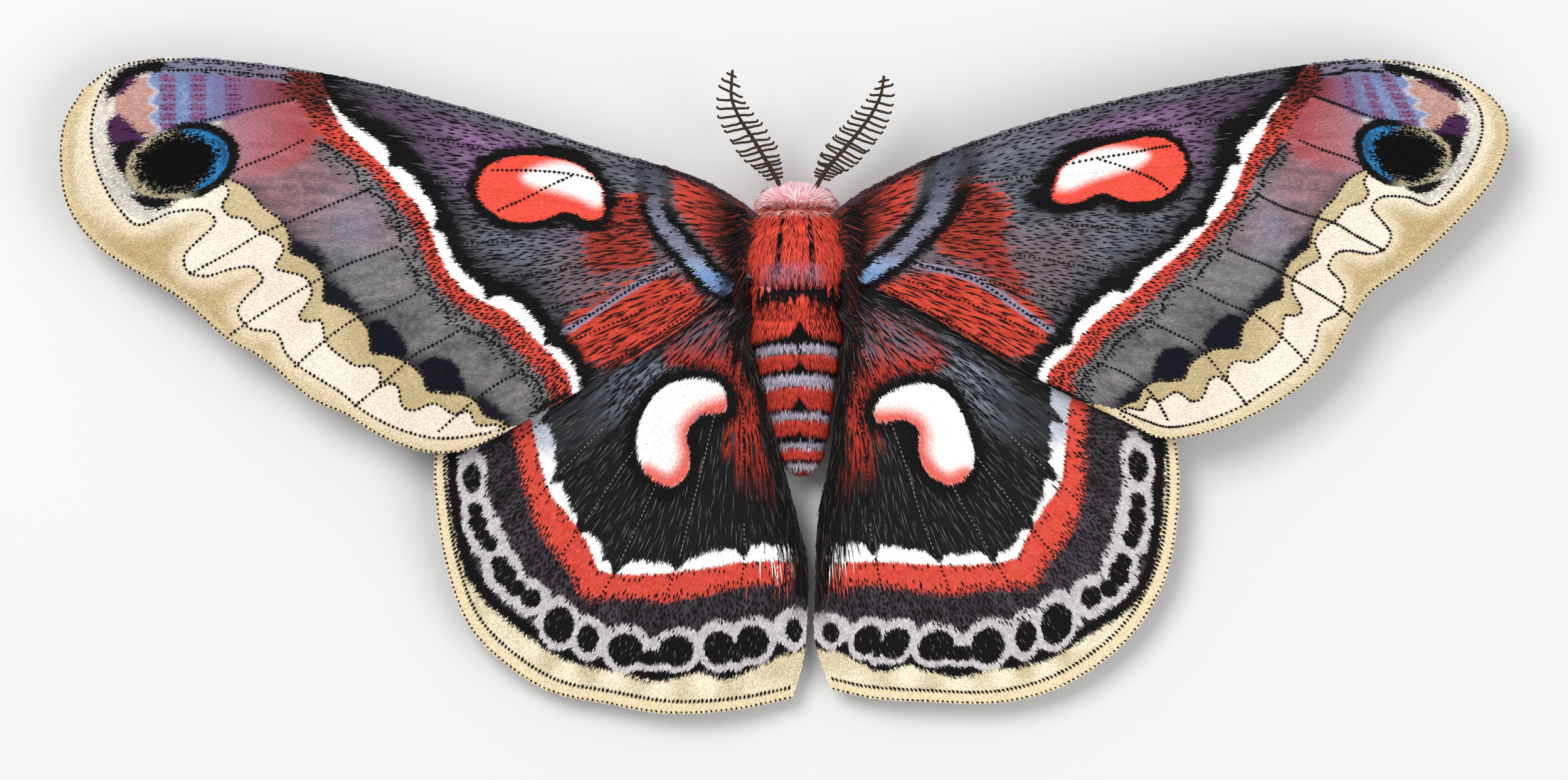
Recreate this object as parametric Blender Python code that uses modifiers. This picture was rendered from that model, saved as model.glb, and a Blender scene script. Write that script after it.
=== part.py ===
"""A cecropia moth at life size, standing on the floor with its four wings spread.

The head points to +Y, the floor is z = 0, and the animal's left is -X.
Sizes are in millimetres. Plan places are x and y from the middle of the wings' spread.
"""

import math

import bmesh
import bpy
import numpy as np
from mathutils import Matrix, Vector

MM = 0.001
GAP = 0.3
PLAN_CENTRE = (-0.04, 0.61)
SOLVER = "EXACT"

BODY_X = 1.2

THORAX_MIDDLE = (BODY_X, 14.2, 6.9)
THORAX_HALF = (5.3, 4.7, 4.8)
THORAX_SQUARENESS = 0.62
THORAX_SEGMENTS = 32
THORAX_RINGS = 14
HEAD_SEGMENTS = 26
HEAD_RINGS = 12
EYE_SEGMENTS = 16
EYE_RINGS = 10
TEGULA_GROOVE_DEG = 22.5
TEGULA_GROOVE_DEPTH = 0.45
TEGULA_GROOVE_WIDTH_DEG = 6.0

HEAD_MIDDLE = (BODY_X + 0.1, 19.3, 6.3)
HEAD_HALF = (4.1, 2.4, 2.7)
HEAD_SQUARENESS = 0.8
EYE_OUT = 2.95
EYE_Y = 20.4
EYE_Z = 5.3
EYE_RADIUS = 1.3

ABDOMEN_FRONT_Y = 12.0
ABDOMEN_TIP_Y = -8.85
ABDOMEN_FRONT_Z = 5.9
ABDOMEN_TIP_Z = 2.9
ABDOMEN_YAW_DEG = 2.4
ABDOMEN_HEIGHT_SHARE = 0.88
ABDOMEN_STEPS = 28
# Where each segment of the abdomen ends, as y, and its half width there.
ABDOMEN_SEGMENTS = (
    (8.4, 5.15),
    (4.9, 4.85),
    (1.6, 4.3),
    (-2.0, 3.65),
    (-4.8, 3.1),
    (-7.0, 2.5),
)
SEGMENT_STEP = 0.28

PALP_OUT = 0.85
PALP_ROOT = (19.9, 4.6)
PALP_TIP = (21.35, 3.75)
PALP_RADII = (0.65, 0.6, 0.35)

WING_MEMBRANE = 0.55
VEIN_THICKNESS = 0.95
MARGIN_THICKNESS = 0.5
VEIN_HALF_WIDTH = 0.35
WING_ROOT_Z = 9.0
WING_DROOP = 4.2
WING_DROOP_POWER = 1.7
WING_REACH = 74.0
WING_PITCH = 0.05
WING_PITCH_FROM_Y = 20.0
PLEAT_DEPTH = 0.16
HIND_WING_DROP = 1.45
HIND_WING_PITCH = 0.04
HIND_WING_PITCH_FROM_Y = 8.0
ANAL_FOLD_DROP = 1.2
ANAL_FOLD_WIDTH = 6.0

# Each wing's outline in plan. The costa and the inner margin run out from the root, which
# starts inside the thorax, and the outer margin runs from the front corner to the rear one.
WING_OUTLINES = {
    "forewing_left": {
        "costa": [(-1.4, 17.2), (-4.4, 19.6), (-9.0, 22.1), (-19.0, 25.1), (-30.0, 28.5),
                  (-45.0, 32.4), (-55.0, 34.0), (-63.0, 34.6), (-69.0, 33.8), (-72.6, 31.4)],
        "outer": [(-72.6, 31.4), (-74.6, 28.0), (-75.1, 24.0), (-74.3, 19.2), (-71.3, 15.2),
                  (-62.0, 9.2), (-58.0, 5.7), (-54.0, 3.4), (-49.0, -0.7), (-45.5, -2.3),
                  (-41.5, -4.7), (-37.0, -6.2), (-33.0, -6.0), (-28.8, -4.1)],
        "inner": [(-1.4, 12.3), (-4.6, 10.9), (-12.0, 5.7), (-18.0, 2.0), (-28.8, -4.1)],
    },
    "forewing_right": {
        "costa": [(3.8, 17.2), (6.8, 19.8), (12.0, 22.7), (20.0, 26.0), (30.0, 29.0),
                  (40.0, 31.4), (52.5, 33.6), (61.0, 34.4), (69.0, 33.2), (73.0, 30.9)],
        "outer": [(73.0, 30.9), (74.8, 28.6), (75.0, 25.8), (73.8, 22.4), (70.0, 17.8),
                  (65.0, 13.2), (60.5, 10.0), (58.3, 6.5), (56.6, 3.6), (53.0, 0.2),
                  (47.5, -2.9), (42.0, -4.6), (38.5, -4.6), (34.5, -2.0)],
        "inner": [(3.8, 12.3), (7.8, 11.4), (14.0, 8.6), (26.5, 1.4), (34.5, -2.0)],
    },
    "hindwing_left": {
        "costa": [(-1.4, 12.6), (-6.0, 11.2), (-16.0, 7.5), (-26.0, 3.0), (-35.4, -3.2)],
        "outer": [(-35.4, -3.2), (-36.3, -7.5), (-36.1, -12.0), (-35.0, -18.5), (-32.8, -24.3),
                  (-29.5, -27.9), (-24.5, -31.1), (-18.5, -32.4), (-12.5, -33.4),
                  (-5.5, -33.1), (0.8, -31.9)],
        "inner": [(-1.4, 9.4), (-3.9, 6.4), (-3.2, 3.6), (-1.7, -2.0), (0.0, -8.0),
                  (1.3, -13.2), (2.3, -17.5), (2.4, -23.5), (1.8, -28.8), (0.8, -31.9)],
    },
    "hindwing_right": {
        "costa": [(3.8, 12.6), (8.0, 11.2), (18.0, 7.8), (29.0, 3.2), (40.2, -2.6)],
        "outer": [(40.2, -2.6), (41.0, -7.5), (40.9, -13.0), (39.8, -19.0), (37.0, -24.3),
                  (33.0, -28.2), (28.0, -31.0), (22.5, -32.3), (15.0, -32.2), (9.0, -31.8),
                  (4.9, -30.9)],
        "inner": [(3.8, 9.4), (6.3, 6.6), (5.9, 3.6), (5.4, -2.0), (4.7, -7.5), (3.6, -13.0),
                  (3.3, -20.0), (3.3, -26.0), (4.9, -30.9)],
    },
}
# Each vein as its share of the way along the outer margin, and how far out it rises.
FORE_VEINS = ((0.10, 0.40), (0.21, 0.0), (0.32, 0.36), (0.43, 0.44), (0.55, 0.38),
              (0.67, 0.22), (0.79, 0.0), (0.92, 0.0))
HIND_VEINS = ((0.16, 0.0), (0.30, 0.30), (0.43, 0.36), (0.55, 0.30), (0.68, 0.0), (0.84, 0.0))
VEIN_RISE = 0.10
FORE_STATIONS = 15
HIND_STATIONS = 12

# Each feeler's shaft in plan, from the head to the tip, and how its side branches lean.
ANTENNA_SHAFTS = {
    "left": [(0.0, 20.2), (-0.65, 21.8), (-1.9, 24.0), (-3.3, 26.3), (-4.6, 28.3),
             (-5.4, 30.3), (-5.4, 32.0), (-5.3, 33.2)],
    "right": [(2.8, 20.2), (3.65, 21.8), (4.7, 23.4), (6.3, 25.2), (7.9, 27.1),
              (9.1, 28.8), (10.0, 30.7), (10.3, 32.6)],
}
ANTENNA_LEAN_DEG = {"left": -20.0, "right": -4.0}
ANTENNA_ROOT_Z = 6.9
ANTENNA_TIP_Z = 9.4
SHAFT_RADII = (0.36, 0.16)
BRANCH_PAIRS = 14
BRANCH_FROM = 1.9
BRANCH_LENGTHS = (0.9, 2.05, 0.75)
BRANCH_RADII = (0.27, 0.2, 0.11)
BRANCH_CURL_DEG = 32.0

# Each pair of legs as places (out from the body's middle, y, z) from hip to claw, with radii.
LEGS = {
    "fore": [(2.2, 16.6, 4.0, 0.85), (4.6, 17.3, 4.2, 0.85), (6.6, 18.2, 3.9, 0.7),
             (7.1, 19.0, 1.6, 0.55), (7.6, 19.9, 0.42, 0.42), (8.8, 21.6, 0.30, 0.34)],
    "mid": [(2.8, 14.8, 4.2, 0.9), (5.6, 14.6, 5.0, 0.9), (8.2, 13.8, 4.3, 0.75),
            (9.4, 12.9, 1.6, 0.58), (10.2, 12.2, 0.42, 0.43), (12.0, 11.2, 0.30, 0.34)],
    "hind": [(3.6, 13.2, 4.2, 0.9), (6.6, 11.8, 4.9, 0.9), (8.8, 9.6, 4.2, 0.75),
             (9.6, 5.4, 1.8, 0.58), (9.8, 2.2, 0.42, 0.43), (10.4, -2.2, 0.30, 0.34)],
}
LEG_POINTS = 14

COLOURS = {
    "red_coat": ((0.58, 0.06, 0.03), 0.85),
    "pale_coat": ((0.80, 0.56, 0.55), 0.85),
    "banded_coat": ((0.50, 0.07, 0.05), 0.85),
    "fore_wing": ((0.13, 0.11, 0.12), 0.75),
    "hind_wing": ((0.06, 0.05, 0.06), 0.75),
    "feeler": ((0.06, 0.04, 0.025), 0.6),
    "leg_coat": ((0.36, 0.07, 0.04), 0.8),
    "eye_shell": ((0.02, 0.012, 0.01), 0.2),
}


def clear_scene():
    for obj in list(bpy.data.objects):
        bpy.data.objects.remove(obj)


def collection(name):
    made = bpy.data.collections.new(name)
    bpy.context.scene.collection.children.link(made)
    return made


def material(name):
    found = bpy.data.materials.get(name)
    if found:
        return found
    colour, roughness = COLOURS[name]
    made = bpy.data.materials.new(name)
    made.use_nodes = True
    shader = made.node_tree.nodes["Principled BSDF"]
    shader.inputs["Base Color"].default_value = (*colour, 1.0)
    shader.inputs["Roughness"].default_value = roughness
    shader.inputs["Metallic"].default_value = 0.0
    return made


def object_from(bm, name, home, slot=None):
    """Turns a bmesh in millimetres into an object in metres, smooth apart from its creases."""
    bmesh.ops.scale(bm, vec=(MM, MM, MM), verts=bm.verts)
    mesh = bpy.data.meshes.new(name)
    bm.to_mesh(mesh)
    bm.free()
    mesh.shade_smooth()
    obj = bpy.data.objects.new(name, mesh)
    home.objects.link(obj)
    if slot:
        mesh.materials.append(material(slot))
    return obj


def as_cutter(obj):
    obj.hide_render = True
    obj.display_type = "WIRE"
    return obj


def cut(obj, cutter):
    """Takes the cutter's space out of the object and leaves both as they are."""
    modifier = obj.modifiers.new(f"clear_of_{cutter.name}", "BOOLEAN")
    modifier.operation = "DIFFERENCE"
    modifier.solver = SOLVER
    modifier.object = cutter
    return obj


def between(a, b, share):
    return a + (b - a) * share


def three_way(values, share):
    """A value that runs from the first of three to the middle one and on to the last."""
    first, middle, last = values
    if share < 0.5:
        return between(first, middle, math.sin(share * math.pi))
    return between(last, middle, math.sin(share * math.pi))


def smooth_line(points, steps=14):
    """A close polyline on the centripetal Catmull-Rom curve through the points."""
    given = [np.array(p, float) for p in points]
    ends = [2 * given[0] - given[1], *given, 2 * given[-1] - given[-2]]
    line = []
    for p0, p1, p2, p3 in zip(ends, ends[1:], ends[2:], ends[3:]):
        t1 = np.linalg.norm(p1 - p0) ** 0.5
        t2 = t1 + np.linalg.norm(p2 - p1) ** 0.5
        t3 = t2 + np.linalg.norm(p3 - p2) ** 0.5
        for step in range(steps):
            t = between(t1, t2, step / steps)
            a1 = (t1 - t) / t1 * p0 + t / t1 * p1
            a2 = (t2 - t) / (t2 - t1) * p1 + (t - t1) / (t2 - t1) * p2
            a3 = (t3 - t) / (t3 - t2) * p2 + (t - t2) / (t3 - t2) * p3
            b1 = (t2 - t) / t2 * a1 + t / t2 * a2
            b2 = (t3 - t) / (t3 - t1) * a2 + (t - t1) / (t3 - t1) * a3
            line.append((t2 - t) / (t2 - t1) * b1 + (t - t1) / (t2 - t1) * b2)
    line.append(given[-1])
    return np.array(line)


class Edge:
    """A smooth curve read by its share of the whole length."""

    def __init__(self, points):
        self.line = smooth_line(points)
        steps = np.linalg.norm(np.diff(self.line, axis=0), axis=1)
        self.shares = np.concatenate([[0.0], np.cumsum(steps)])
        self.length = self.shares[-1]
        self.shares = self.shares / self.length

    def at(self, share):
        return np.array([np.interp(share, self.shares, axis) for axis in self.line.T])


class WingPlan:
    """A wing's blade in plan, read by how far out (0 to 1) and how far back (0 to 1)."""

    def __init__(self, outline):
        self.costa = Edge(outline["costa"])
        self.inner = Edge(outline["inner"])
        self.outer = Edge(outline["outer"])
        self.root = Edge([outline["costa"][0], outline["inner"][0]])

    def at(self, out, back):
        front, rear = self.costa.at(out), self.inner.at(out)
        near, far = self.root.at(back), self.outer.at(back)
        corners = between(
            between(self.costa.at(0), self.costa.at(1), out),
            between(self.inner.at(0), self.inner.at(1), out),
            back,
        )
        return between(front, rear, back) + between(near, far, out) - corners

    def depth(self, out):
        """How far the blade reaches from its front edge to its rear one."""
        return max(np.linalg.norm(self.inner.at(out) - self.costa.at(out)), 1.0)


def wing_height(x, y, hind):
    """The height of a wing's middle surface above the floor at a place in plan."""
    reach = max(abs(x - BODY_X) - THORAX_HALF[0], 0.0) / WING_REACH
    height = WING_ROOT_Z - WING_DROOP * reach**WING_DROOP_POWER
    height -= WING_PITCH * (WING_PITCH_FROM_Y - y)
    if hind:
        behind = max(HIND_WING_PITCH_FROM_Y - y, 0.0)
        height -= HIND_WING_DROP + HIND_WING_PITCH * behind
        beside = (x - BODY_X) / ANAL_FOLD_WIDTH
        height -= ANAL_FOLD_DROP * math.exp(-beside * beside) * min(behind / 10.0, 1.0)
    return height


def wing_lines(veins, out, depth):
    """Each line along the wing as its share of the way back, its pleat and its vein."""
    spread = min(VEIN_HALF_WIDTH / depth, 0.018)
    lines = [(0.0, 0.0, 1.0)]
    ends = [0.0, *[share for share, _ in veins], 1.0]
    for number, (share, start) in enumerate(veins, 1):
        lines.append((between(ends[number - 1], share, 0.5), 1.0, 0.0))
        rise = min(max((out - start) / VEIN_RISE, 0.0), 1.0) if start else 1.0
        lines += [(share - spread, 0.0, 0.0), (share, 0.0, rise), (share + spread, 0.0, 0.0)]
    lines.append((between(ends[-2], 1.0, 0.5), 1.0, 0.0))
    lines.append((1.0, 0.0, 0.0))
    return lines


def build_wing(name, home, thorax_cutter, abdomen_cutter):
    """A sheet with a raised line along each vein, thickened and cut clear of the body."""
    hind = name.startswith("hind")
    veins = HIND_VEINS if hind else FORE_VEINS
    stations = HIND_STATIONS if hind else FORE_STATIONS
    plan = WingPlan(WING_OUTLINES[name])
    line_count = len(wing_lines(veins, 0.5, 10.0))
    bm = bmesh.new()
    bmesh.ops.create_grid(bm, x_segments=stations, y_segments=line_count - 1, size=0.5)
    weights = []
    for vert in bm.verts:
        out = vert.co.x + 0.5
        line = round((vert.co.y + 0.5) * (line_count - 1))
        back, pleat, vein = wing_lines(veins, out, plan.depth(out))[line]
        x, y = plan.at(out, back)
        z = wing_height(x, y, hind) - PLEAT_DEPTH * pleat * math.sin(out * math.pi)
        vert.co = (x, y, z)
        thickness = between(WING_MEMBRANE, VEIN_THICKNESS, vein)
        if out > 0.999 or back > 0.999:
            thickness = MARGIN_THICKNESS
        weights.append(thickness / VEIN_THICKNESS)
    bm.normal_update()
    bm.faces.ensure_lookup_table()
    if bm.faces[0].normal.z < 0:
        bmesh.ops.reverse_faces(bm, faces=bm.faces)
    bmesh.ops.triangulate(bm, faces=bm.faces)
    wing = object_from(bm, name, home, "hind_wing" if hind else "fore_wing")
    group = wing.vertex_groups.new(name="thickness")
    for index, weight in enumerate(weights):
        group.add([index], weight, "REPLACE")
    shell = wing.modifiers.new("thickness", "SOLIDIFY")
    shell.thickness = VEIN_THICKNESS * MM
    shell.offset = 0.0
    shell.vertex_group = group.name
    cut(wing, thorax_cutter)
    if hind:
        cut(wing, abdomen_cutter)
    return wing


def round_body(bm, middle, half, squareness, segments, rings, grow=0.0):
    """An ovoid lying along Y. A squareness under 1 fills out its shoulders."""
    bmesh.ops.create_uvsphere(bm, u_segments=segments, v_segments=rings, radius=1.0)
    bmesh.ops.rotate(bm, matrix=Matrix.Rotation(math.radians(-90), 3, "X"), verts=bm.verts)
    for vert in bm.verts:
        radius = math.hypot(vert.co.x, vert.co.z)
        fuller = radius**squareness / radius if radius > 1e-6 else 0.0
        vert.co.x = middle[0] + vert.co.x * fuller * (half[0] + grow)
        vert.co.y = middle[1] + vert.co.y * (half[1] + grow)
        vert.co.z = middle[2] + vert.co.z * fuller * (half[2] + grow)
    return bm


def build_thorax(name, home, slot=None, grow=0.0):
    """The middle of the body, with a groove along the inner edge of each shoulder cover."""
    bm = round_body(bmesh.new(), THORAX_MIDDLE, THORAX_HALF, THORAX_SQUARENESS,
                    THORAX_SEGMENTS, THORAX_RINGS, grow)
    for vert in bm.verts:
        x, y, z = vert.co - Vector(THORAX_MIDDLE)
        lean = abs(math.degrees(math.atan2(x, z))) - TEGULA_GROOVE_DEG
        along = math.cos(min(abs(y) / THORAX_HALF[1], 1.0) * math.pi / 2)
        groove = math.exp(-((lean / TEGULA_GROOVE_WIDTH_DEG) ** 2)) * along
        deep = 0.0 if grow else TEGULA_GROOVE_DEPTH * groove
        flat = math.hypot(x, z)
        if flat > 1e-6:
            vert.co.x -= deep * x / flat
            vert.co.z -= deep * z / flat
    return object_from(bm, name, home, slot)


def build_head(name, home, slot=None, grow=0.0):
    bm = round_body(bmesh.new(), HEAD_MIDDLE, HEAD_HALF, HEAD_SQUARENESS,
                    HEAD_SEGMENTS, HEAD_RINGS, grow)
    return object_from(bm, name, home, slot)


def build_eye(name, side, home, slot=None, grow=0.0):
    bm = bmesh.new()
    bmesh.ops.create_uvsphere(bm, u_segments=EYE_SEGMENTS, v_segments=EYE_RINGS,
                              radius=EYE_RADIUS + grow)
    place = Vector((HEAD_MIDDLE[0] + side * EYE_OUT, EYE_Y, EYE_Z))
    bmesh.ops.translate(bm, vec=place, verts=bm.verts)
    return object_from(bm, name, home, slot)


def abdomen_profile():
    """Distance from the front end and half width, from the front end to the tip."""
    front = ABDOMEN_SEGMENTS[0][1]
    points = [(0.0, 0.0), (0.0, front * 0.8), (0.5, front * 0.97)]
    for y, half in ABDOMEN_SEGMENTS:
        along = ABDOMEN_FRONT_Y - y
        points += [(along - 0.45, half + 0.04), (along, half), (along + 0.12, half - SEGMENT_STEP)]
    length = ABDOMEN_FRONT_Y - ABDOMEN_TIP_Y
    return points + [(length - 0.95, 1.9), (length - 0.3, 1.15), (length, 0.0)]


def build_abdomen(name, home, slot=None, grow=0.0):
    """The ringed hind body, turned from its profile and laid along the body's line."""
    points = abdomen_profile()
    bm = bmesh.new()
    previous = None
    for number, (along, half) in enumerate(points):
        radius = half + grow if 0 < number < len(points) - 1 else 0.0
        tip = grow if number == len(points) - 1 else 0.0
        vert = bm.verts.new((radius, 0.0, -along - tip))
        if previous:
            bm.edges.new((previous, vert))
        previous = vert
    turned = object_from(bm, f"{name}_turned", home)
    screw = turned.modifiers.new("turn", "SCREW")
    screw.steps = ABDOMEN_STEPS
    screw.render_steps = ABDOMEN_STEPS
    screw.use_merge_vertices = True
    screw.merge_threshold = 1e-6
    solid = baked(turned, name)
    drop = ABDOMEN_FRONT_Z - ABDOMEN_TIP_Z
    pitch = math.atan2(drop, ABDOMEN_FRONT_Y - ABDOMEN_TIP_Y)
    flatten = Matrix.Diagonal((1.0, ABDOMEN_HEIGHT_SHARE, 1.0, 1.0))
    lay = Matrix.Rotation(math.radians(-90) + pitch, 4, "X")
    yaw = Matrix.Rotation(math.radians(ABDOMEN_YAW_DEG), 4, "Z")
    front = Vector((BODY_X - 0.15, ABDOMEN_FRONT_Y, ABDOMEN_FRONT_Z)) * MM
    solid.data.transform(Matrix.Translation(front) @ yaw @ lay @ flatten)
    if slot:
        solid.data.materials.append(material(slot))
    return solid


def baked(obj, name):
    """A mesh object with the object's evaluated shape, welded, in place of the object."""
    graph = bpy.context.evaluated_depsgraph_get()
    graph.update()
    mesh = bpy.data.meshes.new_from_object(obj.evaluated_get(graph))
    mesh.transform(obj.matrix_world)
    bm = bmesh.new()
    bm.from_mesh(mesh)
    bmesh.ops.remove_doubles(bm, verts=bm.verts, dist=1e-6)
    bmesh.ops.recalc_face_normals(bm, faces=bm.faces)
    bm.to_mesh(mesh)
    bm.free()
    home = obj.users_collection[0]
    bpy.data.objects.remove(obj)
    made = bpy.data.objects.new(name, mesh)
    home.objects.link(made)
    return made


def tube(name, points, radii, home, roundness):
    """A tapered tube along the points, closed at both ends, as a mesh."""
    curve = bpy.data.curves.new(name, "CURVE")
    curve.dimensions = "3D"
    curve.bevel_depth = MM
    curve.bevel_resolution = roundness
    curve.use_fill_caps = True
    spline = curve.splines.new("POLY")
    spline.points.add(len(points) - 1)
    for place, point, radius in zip(spline.points, points, radii):
        place.co = (*(Vector(point) * MM), 1.0)
        place.radius = radius
    obj = bpy.data.objects.new(f"{name}_line", curve)
    home.objects.link(obj)
    return baked(obj, name)


def build_antenna(side_name, home, head_cutter):
    """The feather-like feeler: a curved shaft with a row of branches on each side."""
    name = f"antenna_{side_name}"
    shaft_line = Edge([(*p, 0.0) for p in ANTENNA_SHAFTS[side_name]])

    def place(share):
        x, y, _ = shaft_line.at(share)
        return Vector((x, y, between(ANTENNA_ROOT_Z, ANTENNA_TIP_Z, share)))

    shares = [i / 15 for i in range(16)]
    shaft = tube(name, [place(s) for s in shares],
                 [between(*SHAFT_RADII, s) for s in shares], home, 1)
    branches = bpy.data.collections.new(f"{name}_branches")
    bpy.context.scene.collection.children.link(branches)
    first = BRANCH_FROM / shaft_line.length
    for pair in range(BRANCH_PAIRS):
        share = between(first, 0.965, pair / (BRANCH_PAIRS - 1))
        length = three_way(BRANCH_LENGTHS, pair / (BRANCH_PAIRS - 1))
        forward = (place(min(share + 0.02, 1.0)) - place(share - 0.02)).normalized()
        for side in (-1, 1):
            turn = side * -90.0 + ANTENNA_LEAN_DEG[side_name]
            points = [place(share)]
            for step in range(2):
                curl = side * BRANCH_CURL_DEG * step
                heading = Matrix.Rotation(math.radians(turn + curl), 3, "Z") @ forward
                points.append(points[-1] + heading * length / 2)
            tube(f"{name}_branch", points, BRANCH_RADII, branches, 0)
    union = shaft.modifiers.new("branches", "BOOLEAN")
    union.operation = "UNION"
    union.solver = SOLVER
    union.operand_type = "COLLECTION"
    union.collection = branches
    feeler = baked(shaft, name)
    for obj in list(branches.objects):
        bpy.data.objects.remove(obj)
    bpy.data.collections.remove(branches)
    feeler.data.materials.append(material("feeler"))
    return cut(feeler, head_cutter)


def build_palp(side_name, side, home, head_cutter):
    root = Vector((HEAD_MIDDLE[0] + side * PALP_OUT, *PALP_ROOT))
    tip = Vector((HEAD_MIDDLE[0] + side * PALP_OUT, *PALP_TIP))
    points = [root.lerp(tip, share) for share in (0.0, 0.6, 1.0)]
    palp = tube(f"palp_{side_name}", points, PALP_RADII, home, 1)
    palp.data.materials.append(material("leg_coat"))
    return cut(palp, head_cutter)


def build_leg(pair, side_name, side, home, thorax_cutter, floor_cutter):
    """One leg as a tapered tube from inside the thorax to the claw, flat where it stands."""
    stops = [(BODY_X + side * out, y, z, radius) for out, y, z, radius in LEGS[pair]]
    line = Edge(stops)
    places = [line.at(i / (LEG_POINTS - 1)) for i in range(LEG_POINTS)]
    leg = tube(f"leg_{pair}_{side_name}", [p[:3] for p in places], [p[3] for p in places], home, 2)
    leg.data.materials.append(material("leg_coat"))
    cut(leg, thorax_cutter)
    return cut(leg, floor_cutter)


def build_floor_cutter(home):
    """A block below the floor, which leaves each foot a small flat at z = 0."""
    bm = bmesh.new()
    bmesh.ops.create_cube(bm, size=1.0)
    bmesh.ops.scale(bm, vec=(60.0, 60.0, 4.0), verts=bm.verts)
    bmesh.ops.translate(bm, vec=(BODY_X, 10.0, -2.0), verts=bm.verts)
    return as_cutter(object_from(bm, "floor_cutter", home))


def build_moth():
    clear_scene()
    moth = collection("cecropia_moth")
    cutters = collection("cutters")
    thorax_cutter = as_cutter(build_thorax("thorax_cutter", cutters, grow=GAP))
    head_cutter = as_cutter(build_head("head_cutter", cutters, grow=GAP))
    abdomen_cutter = as_cutter(build_abdomen("abdomen_cutter", cutters, grow=GAP))
    floor_cutter = build_floor_cutter(cutters)

    build_thorax("thorax", moth, "red_coat")
    head = build_head("head", moth, "pale_coat")
    cut(head, thorax_cutter)
    cut(build_abdomen("abdomen", moth, "banded_coat"), thorax_cutter)
    for side_name, side in (("left", -1), ("right", 1)):
        build_eye(f"eye_{side_name}", side, moth, "eye_shell")
        socket = as_cutter(build_eye(f"socket_{side_name}", side, cutters, grow=GAP))
        cut(head, socket)
        build_palp(side_name, side, moth, head_cutter)
        build_antenna(side_name, moth, head_cutter)
        for pair in LEGS:
            build_leg(pair, side_name, side, moth, thorax_cutter, floor_cutter)
    for name in WING_OUTLINES:
        build_wing(name, moth, thorax_cutter, abdomen_cutter)

    frame = bpy.data.objects.new("frame", None)
    moth.objects.link(frame)
    for obj in list(moth.objects) + list(cutters.objects):
        if obj is not frame:
            obj.parent = frame
    frame.location = (-PLAN_CENTRE[0] * MM, -PLAN_CENTRE[1] * MM, 0.0)


build_moth()
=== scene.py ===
"""How the cecropia moth looks: patterned wings under a coat of scales, fur, feelers, eyes and legs.

Sizes are in millimetres and plan places are those of the part's source, so each piece lies where
its solid does. The markings are worked out in the left wings' own places, and the right wings
reach them through pairs of matching landmarks.
"""

import math

import bmesh
import bpy
import numpy as np
from mathutils import Matrix, Vector


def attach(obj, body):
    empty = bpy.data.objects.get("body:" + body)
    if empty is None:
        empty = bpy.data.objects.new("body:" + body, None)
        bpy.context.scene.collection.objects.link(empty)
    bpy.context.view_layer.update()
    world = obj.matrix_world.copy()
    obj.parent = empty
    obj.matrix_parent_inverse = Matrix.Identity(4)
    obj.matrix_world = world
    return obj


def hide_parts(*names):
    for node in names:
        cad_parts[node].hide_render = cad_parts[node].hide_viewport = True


MM = 0.001
PLAN_CENTRE = (-0.04, 0.61)
BODY_X = 1.2

THORAX_MIDDLE = (BODY_X, 14.2, 6.9)
THORAX_HALF = (5.3, 4.7, 4.8)
THORAX_SQUARENESS = 0.62
HEAD_MIDDLE = (BODY_X + 0.1, 19.3, 6.3)
HEAD_HALF = (4.1, 2.4, 2.7)
HEAD_SQUARENESS = 0.8
EYE_OUT = 2.62
EYE_Y = 19.95
EYE_Z = 5.0
EYE_RADIUS = 1.3

ABDOMEN_FRONT_Y = 12.0
ABDOMEN_TIP_Y = -8.85
ABDOMEN_FRONT_Z = 5.9
ABDOMEN_TIP_Z = 2.9
ABDOMEN_YAW_DEG = 2.4
ABDOMEN_HEIGHT_SHARE = 0.88
ABDOMEN_SEGMENTS = (
    (8.4, 5.15),
    (4.9, 4.85),
    (1.6, 4.3),
    (-2.0, 3.65),
    (-4.8, 3.1),
    (-7.0, 2.5),
)
SEGMENT_STEP = 0.28

PALP_OUT = 0.85
PALP_ROOT = (19.9, 4.6)
PALP_TIP = (21.35, 3.75)
PALP_RADII = (0.65, 0.6, 0.35)

WING_ROOT_Z = 9.0
WING_DROOP = 4.2
WING_DROOP_POWER = 1.7
WING_REACH = 74.0
WING_PITCH = 0.05
WING_PITCH_FROM_Y = 20.0
PLEAT_DEPTH = 0.16
HIND_WING_DROP = 1.45
HIND_WING_PITCH = 0.04
HIND_WING_PITCH_FROM_Y = 8.0
ANAL_FOLD_DROP = 1.2
ANAL_FOLD_WIDTH = 6.0

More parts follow.
